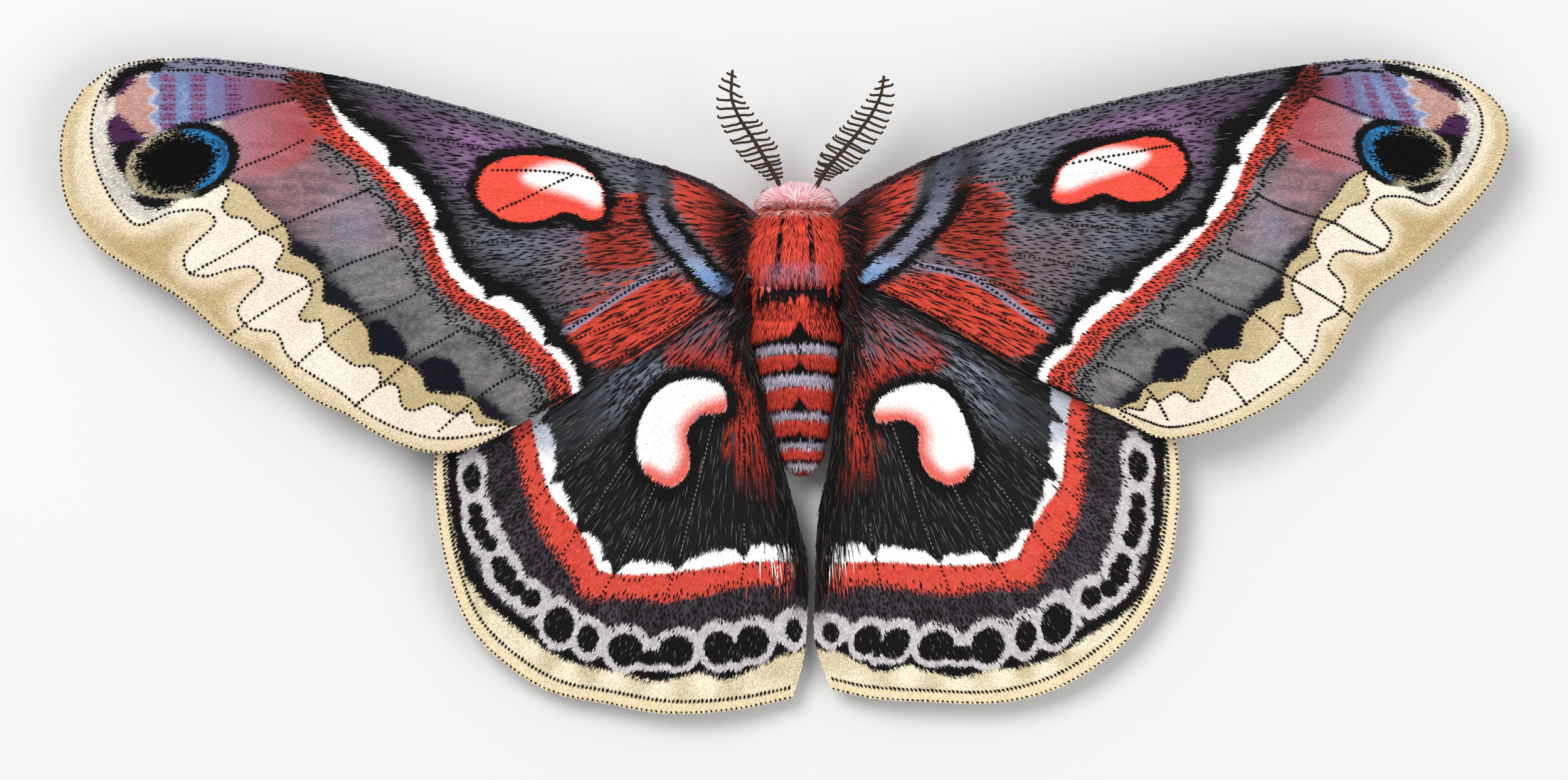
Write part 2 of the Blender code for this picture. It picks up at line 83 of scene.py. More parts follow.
WING_OUTLINES = {
    "forewing_left": {
        "costa": [(-1.4, 17.2), (-4.4, 19.6), (-9.0, 22.1), (-19.0, 25.1), (-30.0, 28.5),
                  (-45.0, 32.4), (-55.0, 34.0), (-63.0, 34.6), (-69.0, 33.8), (-72.6, 31.4)],
        "outer": [(-72.6, 31.4), (-74.6, 28.0), (-75.1, 24.0), (-74.3, 19.2), (-71.3, 15.2),
                  (-62.0, 9.2), (-58.0, 5.7), (-54.0, 3.4), (-49.0, -0.7), (-45.5, -2.3),
                  (-41.5, -4.7), (-37.0, -6.2), (-33.0, -6.0), (-28.8, -4.1)],
        "inner": [(-1.4, 12.3), (-4.6, 10.9), (-12.0, 5.7), (-18.0, 2.0), (-28.8, -4.1)],
    },
    "forewing_right": {
        "costa": [(3.8, 17.2), (6.8, 19.8), (12.0, 22.7), (20.0, 26.0), (30.0, 29.0),
                  (40.0, 31.4), (52.5, 33.6), (61.0, 34.4), (69.0, 33.2), (73.0, 30.9)],
        "outer": [(73.0, 30.9), (74.8, 28.6), (75.0, 25.8), (73.8, 22.4), (70.0, 17.8),
                  (65.0, 13.2), (60.5, 10.0), (58.3, 6.5), (56.6, 3.6), (53.0, 0.2),
                  (47.5, -2.9), (42.0, -4.6), (38.5, -4.6), (34.5, -2.0)],
        "inner": [(3.8, 12.3), (7.8, 11.4), (14.0, 8.6), (26.5, 1.4), (34.5, -2.0)],
    },
    "hindwing_left": {
        "costa": [(-1.4, 12.6), (-6.0, 11.2), (-16.0, 7.5), (-26.0, 3.0), (-35.4, -3.2)],
        "outer": [(-35.4, -3.2), (-36.3, -7.5), (-36.1, -12.0), (-35.0, -18.5), (-32.8, -24.3),
                  (-29.5, -27.9), (-24.5, -31.1), (-18.5, -32.4), (-12.5, -33.4),
                  (-5.5, -33.1), (0.8, -31.9)],
        "inner": [(-1.4, 9.4), (-3.9, 6.4), (-3.2, 3.6), (-1.7, -2.0), (0.0, -8.0),
                  (1.3, -13.2), (2.3, -17.5), (2.4, -23.5), (1.8, -28.8), (0.8, -31.9)],
    },
    "hindwing_right": {
        "costa": [(3.8, 12.6), (8.0, 11.2), (18.0, 7.8), (29.0, 3.2), (40.2, -2.6)],
        "outer": [(40.2, -2.6), (41.0, -7.5), (40.9, -13.0), (39.8, -19.0), (37.0, -24.3),
                  (33.0, -28.2), (28.0, -31.0), (22.5, -32.3), (15.0, -32.2), (9.0, -31.8),
                  (4.9, -30.9)],
        "inner": [(3.8, 9.4), (6.3, 6.6), (5.9, 3.6), (5.4, -2.0), (4.7, -7.5), (3.6, -13.0),
                  (3.3, -20.0), (3.3, -26.0), (4.9, -30.9)],
    },
}
FORE_VEINS = ((0.10, 0.40), (0.21, 0.0), (0.32, 0.36), (0.43, 0.44), (0.55, 0.38),
              (0.67, 0.22), (0.79, 0.0), (0.92, 0.0))
HIND_VEINS = ((0.16, 0.0), (0.30, 0.30), (0.43, 0.36), (0.55, 0.30), (0.68, 0.0), (0.84, 0.0))
VEIN_RISE = 0.10
SHEET_THICKNESS = 0.22
RIDGE_THICKNESS = 0.5
RIDGE_HALF_WIDTH = 0.24
COSTA_HALF_WIDTH = 0.5
FORE_GRID = (200, 100)
HIND_GRID = (120, 124)
SHEET_DEPTH = 36.0

ANTENNA_SHAFTS = {
    "left": [(0.0, 20.2), (-0.65, 21.8), (-1.9, 24.0), (-3.3, 26.3), (-4.6, 28.3),
             (-5.4, 30.3), (-5.4, 32.0), (-5.3, 33.2)],
    "right": [(2.8, 20.2), (3.65, 21.8), (4.7, 23.4), (6.3, 25.2), (7.9, 27.1),
              (9.1, 28.8), (10.0, 30.7), (10.3, 32.6)],
}
ANTENNA_LEAN_DEG = {"left": -21.0, "right": 16.0}
ANTENNA_ROOT_Z = 6.9
ANTENNA_TIP_Z = 9.4

LEGS = {
    "fore": [(2.2, 16.6, 4.0, 0.85), (4.6, 17.3, 4.2, 0.85), (6.6, 18.2, 3.9, 0.7),
             (7.1, 19.0, 1.6, 0.55), (7.6, 19.9, 0.42, 0.42), (8.8, 21.6, 0.30, 0.34)],
    "mid": [(2.8, 14.8, 4.2, 0.9), (5.6, 14.6, 5.0, 0.9), (8.2, 13.8, 4.3, 0.75),
            (9.4, 12.9, 1.6, 0.58), (10.2, 12.2, 0.42, 0.43), (12.0, 11.2, 0.30, 0.34)],
    "hind": [(3.6, 13.2, 4.2, 0.9), (6.6, 11.8, 4.9, 0.9), (8.8, 9.6, 4.2, 0.75),
             (9.6, 5.4, 1.8, 0.58), (9.8, 2.2, 0.42, 0.43), (10.4, -2.2, 0.30, 0.34)],
}
LEG_ORDER = [(side, pair) for side in (-1, 1) for pair in LEGS]
# Skin is a leg's when it lies this near the leg's own surface, past its first few of these stops.
LEG_STOPS = 40
HIP_STOPS = 9
ON_LEG_GAP = 0.12

# Matching landmarks, each as a place on the right wing and the like place on the left one.
FORE_LANDMARKS = [
    ((6.0, 20.1), (-3.2, 20.1)), ((17.0, 24.2), (-13.6, 23.7)), ((16.3, 20.8), (-13.4, 20.2)),
    ((15.2, 18.0), (-13.0, 18.0)), ((13.5, 16.0), (-11.5, 16.0)), ((11.8, 14.2), (-9.9, 14.2)),
    ((9.6, 12.8), (-8.6, 12.7)), ((7.6, 11.6), (-6.8, 11.2)), ((19.1, 11.9), (-15.0, 11.2)),
    ((23.7, 9.1), (-18.8, 8.8)), ((28.2, 19.6), (-19.0, 18.0)), ((41.4, 23.8), (-31.6, 21.2)),
    ((36.0, 25.9), (-25.5, 24.2)), ((37.0, 20.0), (-27.0, 17.8)), ((53.6, 33.3), (-48.0, 33.0)),
    ((51.9, 30.0), (-47.4, 29.5)), ((49.7, 27.0), (-45.7, 27.4)), ((48.3, 24.6), (-42.9, 24.6)),
    ((47.0, 21.6), (-40.0, 21.7)), ((45.2, 18.5), (-37.6, 18.7)), ((42.3, 15.6), (-35.9, 15.0)),
    ((39.2, 12.9), (-34.2, 11.7)), ((36.6, 10.7), (-31.8, 9.8)), ((33.6, 8.4), (-28.8, 8.3)),
    ((30.9, 6.0), (-25.9, 5.7)), ((28.7, 3.2), (-23.3, 2.9)), ((64.5, 24.3), (-62.6, 23.7)),
    ((75.0, 26.3), (-75.1, 25.0)), ((73.0, 30.9), (-72.6, 31.4)), ((70.0, 17.8), (-71.0, 15.1)),
    ((60.5, 9.9), (-60.0, 7.3)), ((57.2, 4.6), (-54.5, 3.6)), ((50.5, -1.7), (-47.0, -1.7)),
    ((42.0, -4.7), (-39.5, -5.4)), ((35.0, -2.3), (-29.0, -4.2)), ((57.6, 21.5), (-54.5, 20.5)),
    ((54.0, 15.5), (-50.5, 15.0)), ((47.5, 7.0), (-43.0, 6.5)), ((41.5, 1.5), (-37.0, 0.3)),
    ((16.6, 6.9), (-13.0, 5.8)), ((27.8, 0.9), (-22.4, -0.6)), ((66.8, 27.4), (-65.6, 26.8)),
    ((61.0, 34.4), (-63.0, 34.6)), ((40.0, 31.4), (-34.0, 29.7)),
]
HIND_LANDMARKS = [
    ((6.3, 10.0), (-4.0, 10.0)), ((30.8, -3.0), (-27.4, -4.3)), ((25.5, -19.4), (-20.5, -20.7)),
    ((4.5, -19.1), (1.0, -18.8)), ((14.0, 0.9), (-9.5, 1.4)), ((19.5, -5.0), (-15.3, -4.2)),
    ((17.2, -9.6), (-12.0, -9.8)), ((9.4, -1.8), (-6.0, -0.4)), ((13.8, -4.0), (-9.9, -4.2)),
    ((37.0, -10.5), (-32.4, -11.5)), ((34.2, -20.0), (-28.2, -20.0)), ((28.3, -24.0), (-23.3, -24.0)),
    ((16.2, -26.2), (-11.5, -26.7)), ((5.0, -25.0), (1.0, -24.7)), ((41.0, -6.0), (-36.3, -7.0)),
    ((39.8, -19.0), (-35.0, -18.5)), ((33.0, -28.2), (-29.5, -27.9)), ((22.5, -32.3), (-18.5, -32.4)),
    ((9.0, -31.8), (-5.5, -33.1)), ((4.9, -30.9), (0.8, -31.9)), ((5.4, -2.0), (-1.7, -2.0)),
    ((3.6, -13.0), (1.3, -13.2)), ((3.3, -24.0), (2.4, -23.5)), ((29.0, 3.2), (-26.0, 3.0)),
]

# The lines that the forewing's markings follow, from the front edge back. Their outer side is +.
FORE_LINES = {
    "basal": [(-13.6, 24.4), (-13.5, 21.6), (-13.4, 19.6), (-13.0, 18.0), (-12.2, 16.8),
              (-10.6, 15.0), (-9.2, 13.4), (-8.0, 12.0), (-6.3, 10.9), (-3.4, 9.9)],
    "band": [(-48.0, 33.0), (-47.3, 30.6), (-44.9, 28.4), (-41.4, 26.1), (-38.5, 23.0),
             (-36.0, 19.7), (-34.9, 17.1), (-34.2, 14.6), (-32.9, 12.7), (-30.6, 11.2),
             (-27.2, 9.6), (-24.2, 6.2), (-21.8, 3.3), (-20.8, 0.6), (-20.7, -2.0)],
    "tan": [(-58.0, 22.4), (-55.4, 21.0), (-53.9, 19.1), (-52.1, 17.8), (-51.2, 16.2),
            (-51.2, 14.6), (-49.5, 13.8), (-48.2, 12.9), (-47.6, 11.5), (-47.6, 9.4),
            (-46.1, 9.0), (-44.3, 7.9), (-43.0, 6.4), (-42.7, 4.1), (-41.3, 3.9),
            (-39.8, 3.5), (-38.2, 2.5), (-37.3, 1.4), (-36.9, 0.2), (-35.4, -0.1),
            (-33.4, -0.2), (-31.8, -1.0), (-31.1, -2.3), (-29.5, -2.9), (-28.4, -3.6)],
    "cream": [(-58.4, 22.2), (-57.5, 20.7), (-58.2, 19.3), (-57.4, 18.2), (-55.7, 17.9),
              (-54.6, 16.8), (-52.6, 15.9), (-51.8, 14.8), (-52.7, 12.9), (-51.2, 12.4),
              (-49.5, 11.8), (-48.9, 10.2), (-50.2, 7.7), (-49.3, 7.3), (-48.0, 7.4),
              (-47.4, 5.1), (-45.6, 3.5), (-44.3, 2.7), (-42.6, 2.7), (-41.8, 1.9),
              (-41.8, 0.6), (-40.8, 0.9), (-40.0, 0.5), (-39.5, -1.5), (-38.4, -1.9),
              (-36.2, -1.2), (-34.1, -2.3), (-32.6, -2.0), (-31.9, -3.4), (-29.8, -3.4),
              (-28.9, -3.8)],
    "outer": [(-69.8, 32.8), (-71.3, 30.0), (-71.8, 26.0), (-70.8, 22.0), (-68.8, 18.8),
              (-67.0, 17.3), (-63.5, 18.6), (-59.8, 18.7), (-58.9, 17.6), (-60.6, 15.8),
              (-62.2, 14.0), (-61.8, 12.5), (-60.0, 12.0), (-57.0, 12.8), (-55.0, 12.9),
              (-54.0, 11.7), (-55.6, 10.0), (-56.6, 8.4), (-55.4, 6.6), (-52.6, 6.1),
              (-51.6, 4.0), (-50.0, 2.5), (-46.0, 0.0), (-43.5, -2.0), (-40.0, -3.8),
              (-36.0, -4.8), (-32.0, -4.5), (-28.9, -3.8)],
    "fan_vein": [(-10.8, 13.4), (-15.0, 11.2), (-22.5, 6.3)],
}
# The closed forms on the forewing. Their inside is +.
FORE_PATCHES = {
    "spot": [(-31.7, 20.4), (-31.2, 22.6), (-29.0, 24.1), (-25.0, 24.3), (-21.0, 23.3),
             (-19.0, 21.4), (-18.8, 18.2), (-20.2, 17.8), (-22.6, 18.6), (-25.4, 17.7),
             (-29.0, 17.9)],
    "spot_white": [(-27.0, 22.2), (-25.6, 23.1), (-22.7, 23.6), (-20.6, 23.0), (-19.0, 21.7),
                   (-18.6, 20.0), (-19.3, 19.3), (-21.2, 20.1), (-23.4, 20.8), (-25.6, 21.3)],
    "fan_upper": [(-12.9, 19.6), (-18.2, 19.9), (-20.6, 17.2), (-20.4, 12.6), (-16.0, 12.4),
                  (-13.4, 14.2), (-14.4, 17.0)],
    "fan_lower": [(-11.3, 11.8), (-15.4, 11.6), (-20.8, 9.0), (-22.5, 6.4), (-20.2, 3.6),
                  (-16.6, 2.2), (-12.0, 4.8), (-7.9, 8.3), (-9.3, 10.6)],
    "blotch_first": [(-51.3, 15.8), (-50.2, 15.7), (-47.6, 13.4), (-48.2, 12.6), (-49.5, 13.6),
                     (-51.2, 14.4)],
    "blotch_high": [(-47.6, 11.4), (-46.2, 10.9), (-43.9, 8.4), (-44.3, 7.7), (-46.1, 8.8),
                    (-47.6, 9.2)],
    "blotch_upper": [(-43.0, 7.0), (-41.4, 7.3), (-39.8, 6.0), (-39.1, 4.8), (-39.4, 3.3),
                     (-41.3, 3.7), (-42.7, 3.9)],
    "blotch_lower": [(-37.7, 2.9), (-36.2, 3.5), (-34.6, 3.2), (-33.5, 1.8), (-33.2, -0.1),
                     (-35.4, -0.3), (-36.9, 0.0), (-37.3, 1.4)],
    "blotch_last": [(-31.5, -0.9), (-30.2, -1.4), (-28.8, -2.9), (-29.5, -3.1), (-31.1, -2.4)],
    "strip": [(-48.6, 33.4), (-48.0, 31.0), (-50.4, 30.4), (-58.0, 28.2), (-65.5, 26.8),
              (-64.6, 27.5), (-66.0, 28.4), (-64.8, 29.3), (-66.1, 30.2), (-64.6, 31.0),
              (-65.9, 31.9), (-64.6, 33.9), (-57.0, 34.5)],
    "blush": [(-49.2, 30.4), (-47.8, 27.4), (-49.4, 24.6), (-52.6, 22.8), (-57.2, 22.2),
              (-56.0, 25.0), (-57.8, 27.8), (-54.0, 29.6)],
    "rose": [(-69.3, 30.2), (-67.6, 32.3), (-65.0, 32.4), (-64.0, 30.0), (-64.6, 27.0),
             (-67.0, 26.6), (-68.9, 28.0)],
    "purple_front": [(-70.2, 30.2), (-69.4, 32.8), (-66.6, 33.3), (-67.4, 31.9), (-69.0, 30.6)],
    "purple_rear": [(-70.0, 28.2), (-69.8, 25.6), (-67.6, 24.9), (-64.8, 26.1), (-66.8, 26.9),
                    (-68.6, 28.6)],
    "tip_mark": [(-70.2, 31.0), (-68.6, 33.2), (-64.2, 34.3), (-64.0, 33.5), (-68.0, 32.5),
                 (-69.6, 30.6)],
    "crescent_side": [(-69.4, 25.4), (-69.2, 23.4), (-68.0, 22.0), (-68.0, 24.2), (-66.8, 26.0)],
    "crescent_rear": [(-67.8, 20.5), (-66.4, 19.2), (-64.6, 19.0), (-62.6, 20.2), (-65.4, 20.2)],
    "tip_field": [(-48.5, 34.2), (-47.6, 29.0), (-49.5, 25.0), (-54.5, 21.4), (-57.6, 21.6),
                  (-59.0, 19.8), (-66.0, 17.6), (-69.0, 19.4), (-71.4, 24.0), (-71.2, 30.0),
                  (-69.6, 33.2), (-63.0, 35.0), (-55.0, 34.8)],
}
# The right wing's upper red fan has its own form.
RIGHT_FAN = [(18.1, 21.0), (20.0, 21.4), (22.5, 20.3), (23.2, 17.8), (23.2, 15.1), (24.5, 11.9),
             (25.6, 9.3), (24.3, 9.9), (20.8, 12.1), (17.1, 14.1), (15.7, 15.6), (17.0, 18.4)]
EYESPOT = {"middle": (-62.7, 23.75), "half": (5.7, 3.55), "turn_deg": 14.0}
EYESPOT_CORE = {"middle": (-63.0, 23.7), "half": (4.3, 2.95), "turn_deg": 14.0}

HIND_LINES = {
    "white": [(-24.3, -2.0), (-23.9, -5.5), (-22.9, -9.6), (-21.8, -12.4), (-19.3, -15.6),
              (-18.4, -17.5), (-15.0, -17.5), (-12.2, -17.6), (-8.0, -16.6), (-4.0, -15.9),
              (-1.0, -15.8), (2.4, -16.6)],
    "red": [(-26.4, -2.0), (-25.6, -6.0), (-24.4, -10.4), (-22.4, -12.9), (-20.2, -16.3),
            (-19.2, -18.5), (-16.4, -19.0), (-12.0, -18.8), (-8.0, -18.3), (-4.0, -17.7),
            (2.4, -17.6)],
    "red_end": [(-28.4, -2.0), (-27.3, -8.5), (-26.3, -12.5), (-24.8, -15.5), (-22.3, -18.8),
                (-20.9, -21.3), (-16.0, -21.5), (-12.0, -21.8), (-8.5, -21.2), (-4.0, -20.2),
                (2.4, -19.7)],
    "chain": [(-31.0, -4.0), (-30.9, -7.0), (-30.7, -10.5), (-29.3, -13.0), (-27.8, -16.0),
              (-26.6, -19.2), (-24.0, -19.6), (-21.8, -22.6), (-18.8, -24.0), (-15.5, -24.2),
              (-13.2, -25.4), (-10.6, -24.3), (-7.0, -23.3), (-4.0, -23.4), (-2.0, -22.9),
              (2.6, -22.2)],
    "chain_end": [(-34.2, -3.0), (-34.0, -8.0), (-33.7, -12.2), (-32.6, -17.2), (-31.5, -19.6),
                  (-29.3, -22.0), (-26.5, -24.2), (-23.5, -26.3), (-20.0, -27.6), (-17.0, -28.0),
                  (-14.0, -29.0), (-11.0, -28.6), (-8.6, -27.9), (-6.2, -28.8), (-3.4, -27.7),
                  (-0.6, -26.4), (2.6, -25.6)],
    "kidney_inner": [(-5.9, -1.4), (-8.4, -2.3), (-10.0, -4.0), (-9.8, -6.8), (-10.6, -8.8),
                     (-12.2, -9.6), (-14.2, -8.6)],
    "slate": [(-26.0, -6.0), (-20.0, -2.2), (-14.0, 1.6), (-8.6, 4.6)],
}
HIND_PATCHES = {
    "kidney": [(-6.1, -0.2), (-6.9, 0.9), (-9.4, 1.4), (-12.6, 0.4), (-14.7, -2.4),
               (-15.3, -5.6), (-14.6, -8.0), (-12.2, -9.8), (-10.2, -8.8), (-9.8, -6.8),
               (-10.1, -4.2), (-8.6, -2.4), (-6.2, -2.0)],
    "blush": [(-12.6, 4.4), (-8.0, 8.0), (-4.4, 8.0), (-3.0, 3.0), (-1.6, -3.0), (-0.2, -9.0),
              (1.0, -15.0), (-3.6, -12.0), (-5.8, -6.0), (-5.6, -0.4), (-7.4, 2.0), (-10.6, 2.2)],
}
# The black spots in the hindwing's pale chain: middle, half width and half height.
CHAIN_SPOTS = [
    (-32.4, -8.9, 0.95, 1.5), (-32.1, -12.2, 0.8, 0.75), (-31.8, -13.6, 1.0, 0.9),
    (-31.4, -14.8, 0.8, 0.8), (-30.7, -15.7, 0.95, 0.85), (-29.6, -17.8, 0.9, 0.8),
    (-29.0, -19.0, 1.2, 1.1), (-27.9, -20.4, 1.1, 0.9), (-26.3, -21.4, 1.05, 1.0),
    (-23.4, -24.2, 1.6, 1.9), (-20.4, -25.6, 1.1, 1.5), (-16.5, -26.8, 1.8, 1.75),
    (-13.7, -27.6, 1.6, 0.8), (-11.2, -26.9, 1.85, 1.65), (-6.75, -26.6, 1.6, 1.8),
    (-5.0, -27.1, 0.8, 1.1), (-3.3, -26.0, 1.7, 1.75), (1.05, -24.8, 0.9, 1.25),
]
# Lines that only rows of dots follow, and the drawn lines that carry dots as well.
FORE_DOTS = {
    "strip_top": [(-63.8, 33.3), (-58.8, 33.3), (-54.3, 32.8), (-50.8, 32.5)],
    "strip_edge": [(-64.6, 26.6), (-62.1, 27.5), (-58.8, 28.4), (-55.8, 29.2), (-50.8, 30.2)],
    "blush_edge": [(-57.9, 22.3), (-55.8, 23.4), (-52.7, 24.6), (-49.5, 26.2)],
    "spot_vein": [(-30.2, 22.9), (-26.0, 22.9), (-21.8, 22.5), (-18.9, 21.8)],
    "spot_fork": [(-29.6, 18.7), (-25.6, 20.6), (-21.9, 22.4)],
    "hem_vein_1": [(-61.6, 12.2), (-57.2, 14.6), (-54.4, 16.3), (-50.5, 17.9), (-42.8, 21.0)],
    "hem_vein_2": [(-57.4, 5.9), (-55.1, 7.5), (-49.5, 10.9), (-45.7, 13.0), (-39.8, 15.1)],
    "hem_vein_3": [(-50.7, 2.6), (-48.2, 4.8), (-44.7, 7.4), (-41.0, 8.8), (-38.0, 10.2)],
    "hem_vein_4": [(-44.5, -1.5), (-40.5, 1.8), (-38.3, 3.8), (-35.3, 5.4), (-32.8, 6.8)],
    "hem_vein_5": [(-35.8, -4.1), (-32.6, -1.3), (-29.6, 0.9), (-26.6, 2.4)],
    "scallop_1": [(-48.5, 26.0), (-46.7, 25.0), (-44.3, 22.9), (-43.9, 21.4)],
    "scallop_2": [(-43.3, 20.9), (-41.8, 20.1), (-40.0, 18.2), (-39.7, 15.5)],
    "scallop_3": [(-39.5, 14.7), (-38.5, 13.0), (-37.8, 11.0)],
    "scallop_4": [(-36.8, 10.2), (-35.1, 9.0), (-34.7, 7.3)],
    "scallop_5": [(-33.1, 6.6), (-29.9, 5.0), (-27.7, 2.6)],
    "scallop_6": [(-27.1, 1.9), (-25.6, 1.1), (-24.9, -1.2)],
}
FORE_DOTTED_LINES = ("tan", "cream", "outer", "fan_vein")
# Where the white band is notched, as ways along it.
BAND_NOTCHES = (12.4, 20.9, 29.4, 37.9)

INK = (19, 17, 18)
RED = (214, 70, 52)
DEEP_RED = (120, 32, 30)
DARK_BROWN = (44, 28, 26)
WHITE = (255, 253, 250)
LILAC = (176, 170, 188)
CREAM = (250, 240, 221)
BROWN_SHADE = (124, 96, 84)
PALE_HAIR = (122, 118, 108)
FEELER_BROWN = (60, 48, 37)
EYE_BROWN = (38, 26, 22)
CLAW_BROWN = (40, 22, 18)
# The grain in the materials, and the fine specks that the markings are broken up by.
GRAIN_SCALE = 5200.0
GRAIN_DETAIL = 3.0
RELIEF_DEPTH = 0.00008
SOFT_GLOSS = 0.07
SPECK = 0.34

# The abdomen's rings, each from its front to its rear edge, and the black peaks on them.
ABDOMEN_RINGS = [
    (5.7, 4.95, INK), (4.95, 4.0, LILAC), (2.4, 1.75, INK), (1.75, 0.45, LILAC),
    (-1.7, -2.15, INK), (-2.15, -3.0, LILAC), (-4.5, -5.2, INK), (-5.2, -5.95, LILAC),
    (-7.0, -7.4, INK), (-7.4, -8.2, LILAC), (-8.4, -9.6, DEEP_RED),
]
ABDOMEN_PEAKS = ((4.9, 7.6, 1.9), (1.75, 3.4, 1.5), (-2.15, -0.3, 1.2), (-5.2, -3.9, 1.0))
ABDOMEN_MIDDLE_X = 1.6
HEAD_FROM_Y = 18.9
ABDOMEN_TO_Y = 9.6

# The coat: how many scales each face of a wing has, and their usual length and width.
SCALES = {
    ("fore", "top"): (90000, 0.82, 0.13),
    ("hind", "top"): (88000, 0.82, 0.125),
    ("fore", "under"): (42000, 0.90, 0.18),
    ("hind", "under"): (36000, 0.90, 0.18),
}
SHORT_SCALE_SHARE = 0.52
SCALE_LIFT = (0.03, 0.13)
# Dark strokes over the coat: the gap between rows, the way from one to the next, length and width.
STROKES = {
    "fine": (0.55, 1.5, 1.15, 0.16),
    "long": (0.85, 2.4, 2.3, 0.2),
    "tick": (0.42, 0.85, 0.66, 0.17),
}
STROKE_BANDS = 8
LIGHT_STROKE_SHARE = 0.55
STROKE_RISE = 0.07
DOT_PITCH = 0.52
DOT_SIZE = 0.34
VEIN_DOT_SIZE = 0.26
DOT_RISE = 0.19
# How far the dots lie in from the outer edge and the front one, and how close those of lines are.
RIM_INSET = 0.12
FRONT_INSET = 0.16
LINE_DOT_PITCH = DOT_PITCH * 0.94
# The dashes along the hindwing's veins and its hem: their width and how much longer they are.
HAIR_DASH = (0.15, 2.2)
HEM_DASH = (0.27, 2.1)
HEM_DASH_PITCH = DOT_PITCH * 0.85
HEM_DASH_INSET = 1.25
UV_PATCH = 0.003
# A scale is a kite of four points, and a hair is a bent blade of five.
TUFT_FORMS = {
    "scale": {
        "points": [(0.0, 0.25, 0.0), (0.45, 0.5, 0.6), (0.45, -0.5, 0.6), (1.0, 0.0, 1.0)],
        "faces": [(0, 2, 1), (1, 2, 3)],
    },
    "hair": {
        "points": [(0.0, 0.5, 0.0), (0.0, -0.5, 0.0), (0.5, 0.42, 0.7), (0.5, -0.42, 0.7),
                   (1.0, 0.0, 1.0)],
        "faces": [(0, 1, 3), (0, 3, 2), (2, 3, 4)],
    },
}

SKIN_VOXEL = 0.14
THORAX_COAT = 0.35
COLLAR_MIDDLE = (BODY_X + 0.05, 17.2, 6.9)
COLLAR_HALF = (5.2, 2.3, 3.6)
HEAD_COAT = 0.6
HEAD_CROWN = (BODY_X + 0.1, 19.6, 8.3)
ABDOMEN_COAT = 0.18
LEG_COAT = 0.14
# Each coat's tuft count, shortest and longest, width, and how far it stands from the skin in degrees.
FUR = {
    "thorax": (36000, (1.3, 2.2), 0.13, 9.0),
    "head": (15000, (0.8, 1.5), 0.10, 24.0),
    "brow": (1900, (1.8, 2.6), 0.11, 6.0),
    "abdomen": (36000, (0.55, 1.0), 0.11, 16.0),
    "leg": (15000, (0.35, 0.75), 0.09, 18.0),
}
SIDE_HAIR = (1500, (1.7, 3.0), 0.13)
MARGIN_HAIR = (2600, (1.6, 3.0), 0.12)
MARGIN_TRIES = 14
TARSUS_FROM = 0.62
TARSUS_JOINTS = 11
CLAW_STOPS = ((-0.15, 0.0, 0.0), (0.12, 0.16, 0.05), (0.3, 0.2, -0.1), (0.34, 0.17, -0.22))
CLAW_RADII = (0.09, 0.07, 0.045, 0.02)

ANTENNA_PAIRS = {"left": 18, "right": 21}
# How far along the feeler its branches start, by their order.
BRANCH_STARTS = ((0, 0.25, 0.5, 0.75, 1), (0.15, 0.28, 0.47, 0.70, 0.965))
SHAFT_RADII = (0.25, 0.14)
BRANCH_RADII = (0.14, 0.12)
# Along each feeler: how long its branches are, and how a branch bends from root to tip.
BRANCH_LENGTHS = ((0, 0.12, 0.35, 0.7, 0.92, 1), (0.9, 1.3, 2.1, 2.05, 1.3, 0.6))
BRANCH_BENDS = ((0, 1, 4, 6, 7), (14, -6, -3, 6, 62))
BRANCH_STEPS = 8
OUTER_BRANCH = 1.12
INNER_BRANCH = 0.88
SHAFT_STOPS = 60

CAMERA_LENS = 135.0
SENSOR = 36.0
PHOTO_WIDTH_MM = 162.2
PHOTO_CENTRE = (0.0, 0.23)
WING_LEVEL = 7.0
FLOOR_TONE = 0.75
FLOOR_SIZE = 3.0
SKY_STRENGTH = 0.5
# Each lamp's place and size in metres, and its power.
LAMPS = {
    "key": ((-0.35, 0.40, 0.75), 0.45, 5.6),
    "fill": ((0.50, -0.15, 0.60), 0.6, 2.4),
}

rng = np.random.default_rng(7)


# Small maths


def linear(colour):
    share = np.array(colour, float) / 255
    return np.where(share <= 0.04045, share / 12.92, ((share + 0.055) / 1.055) ** 2.4)


def step(value, low, high):
    """0 at low, 1 at high and smooth between them. Low may be the larger one."""
    share = np.clip((value - low) / (high - low), 0.0, 1.0)
    return share * share * (3 - 2 * share)


def noise(x, y, seed):
    """Smooth random values from 0 to 1 on a lattice one unit wide."""
    x = np.asarray(x, float)
    y = np.asarray(y, float)
    left, low = np.floor(x), np.floor(y)

    def corner(i, j):
        wave = np.sin(i * 127.1 + j * 311.7 + seed * 74.7) * 43758.5453
        return wave - np.floor(wave)

    across, up = step(x - left, 0, 1), step(y - low, 0, 1)
    bottom = corner(left, low) * (1 - across) + corner(left + 1, low) * across
    top = corner(left, low + 1) * (1 - across) + corner(left + 1, low + 1) * across
    return bottom * (1 - up) + top * up


def between(a, b, share):
    return a + (b - a) * share


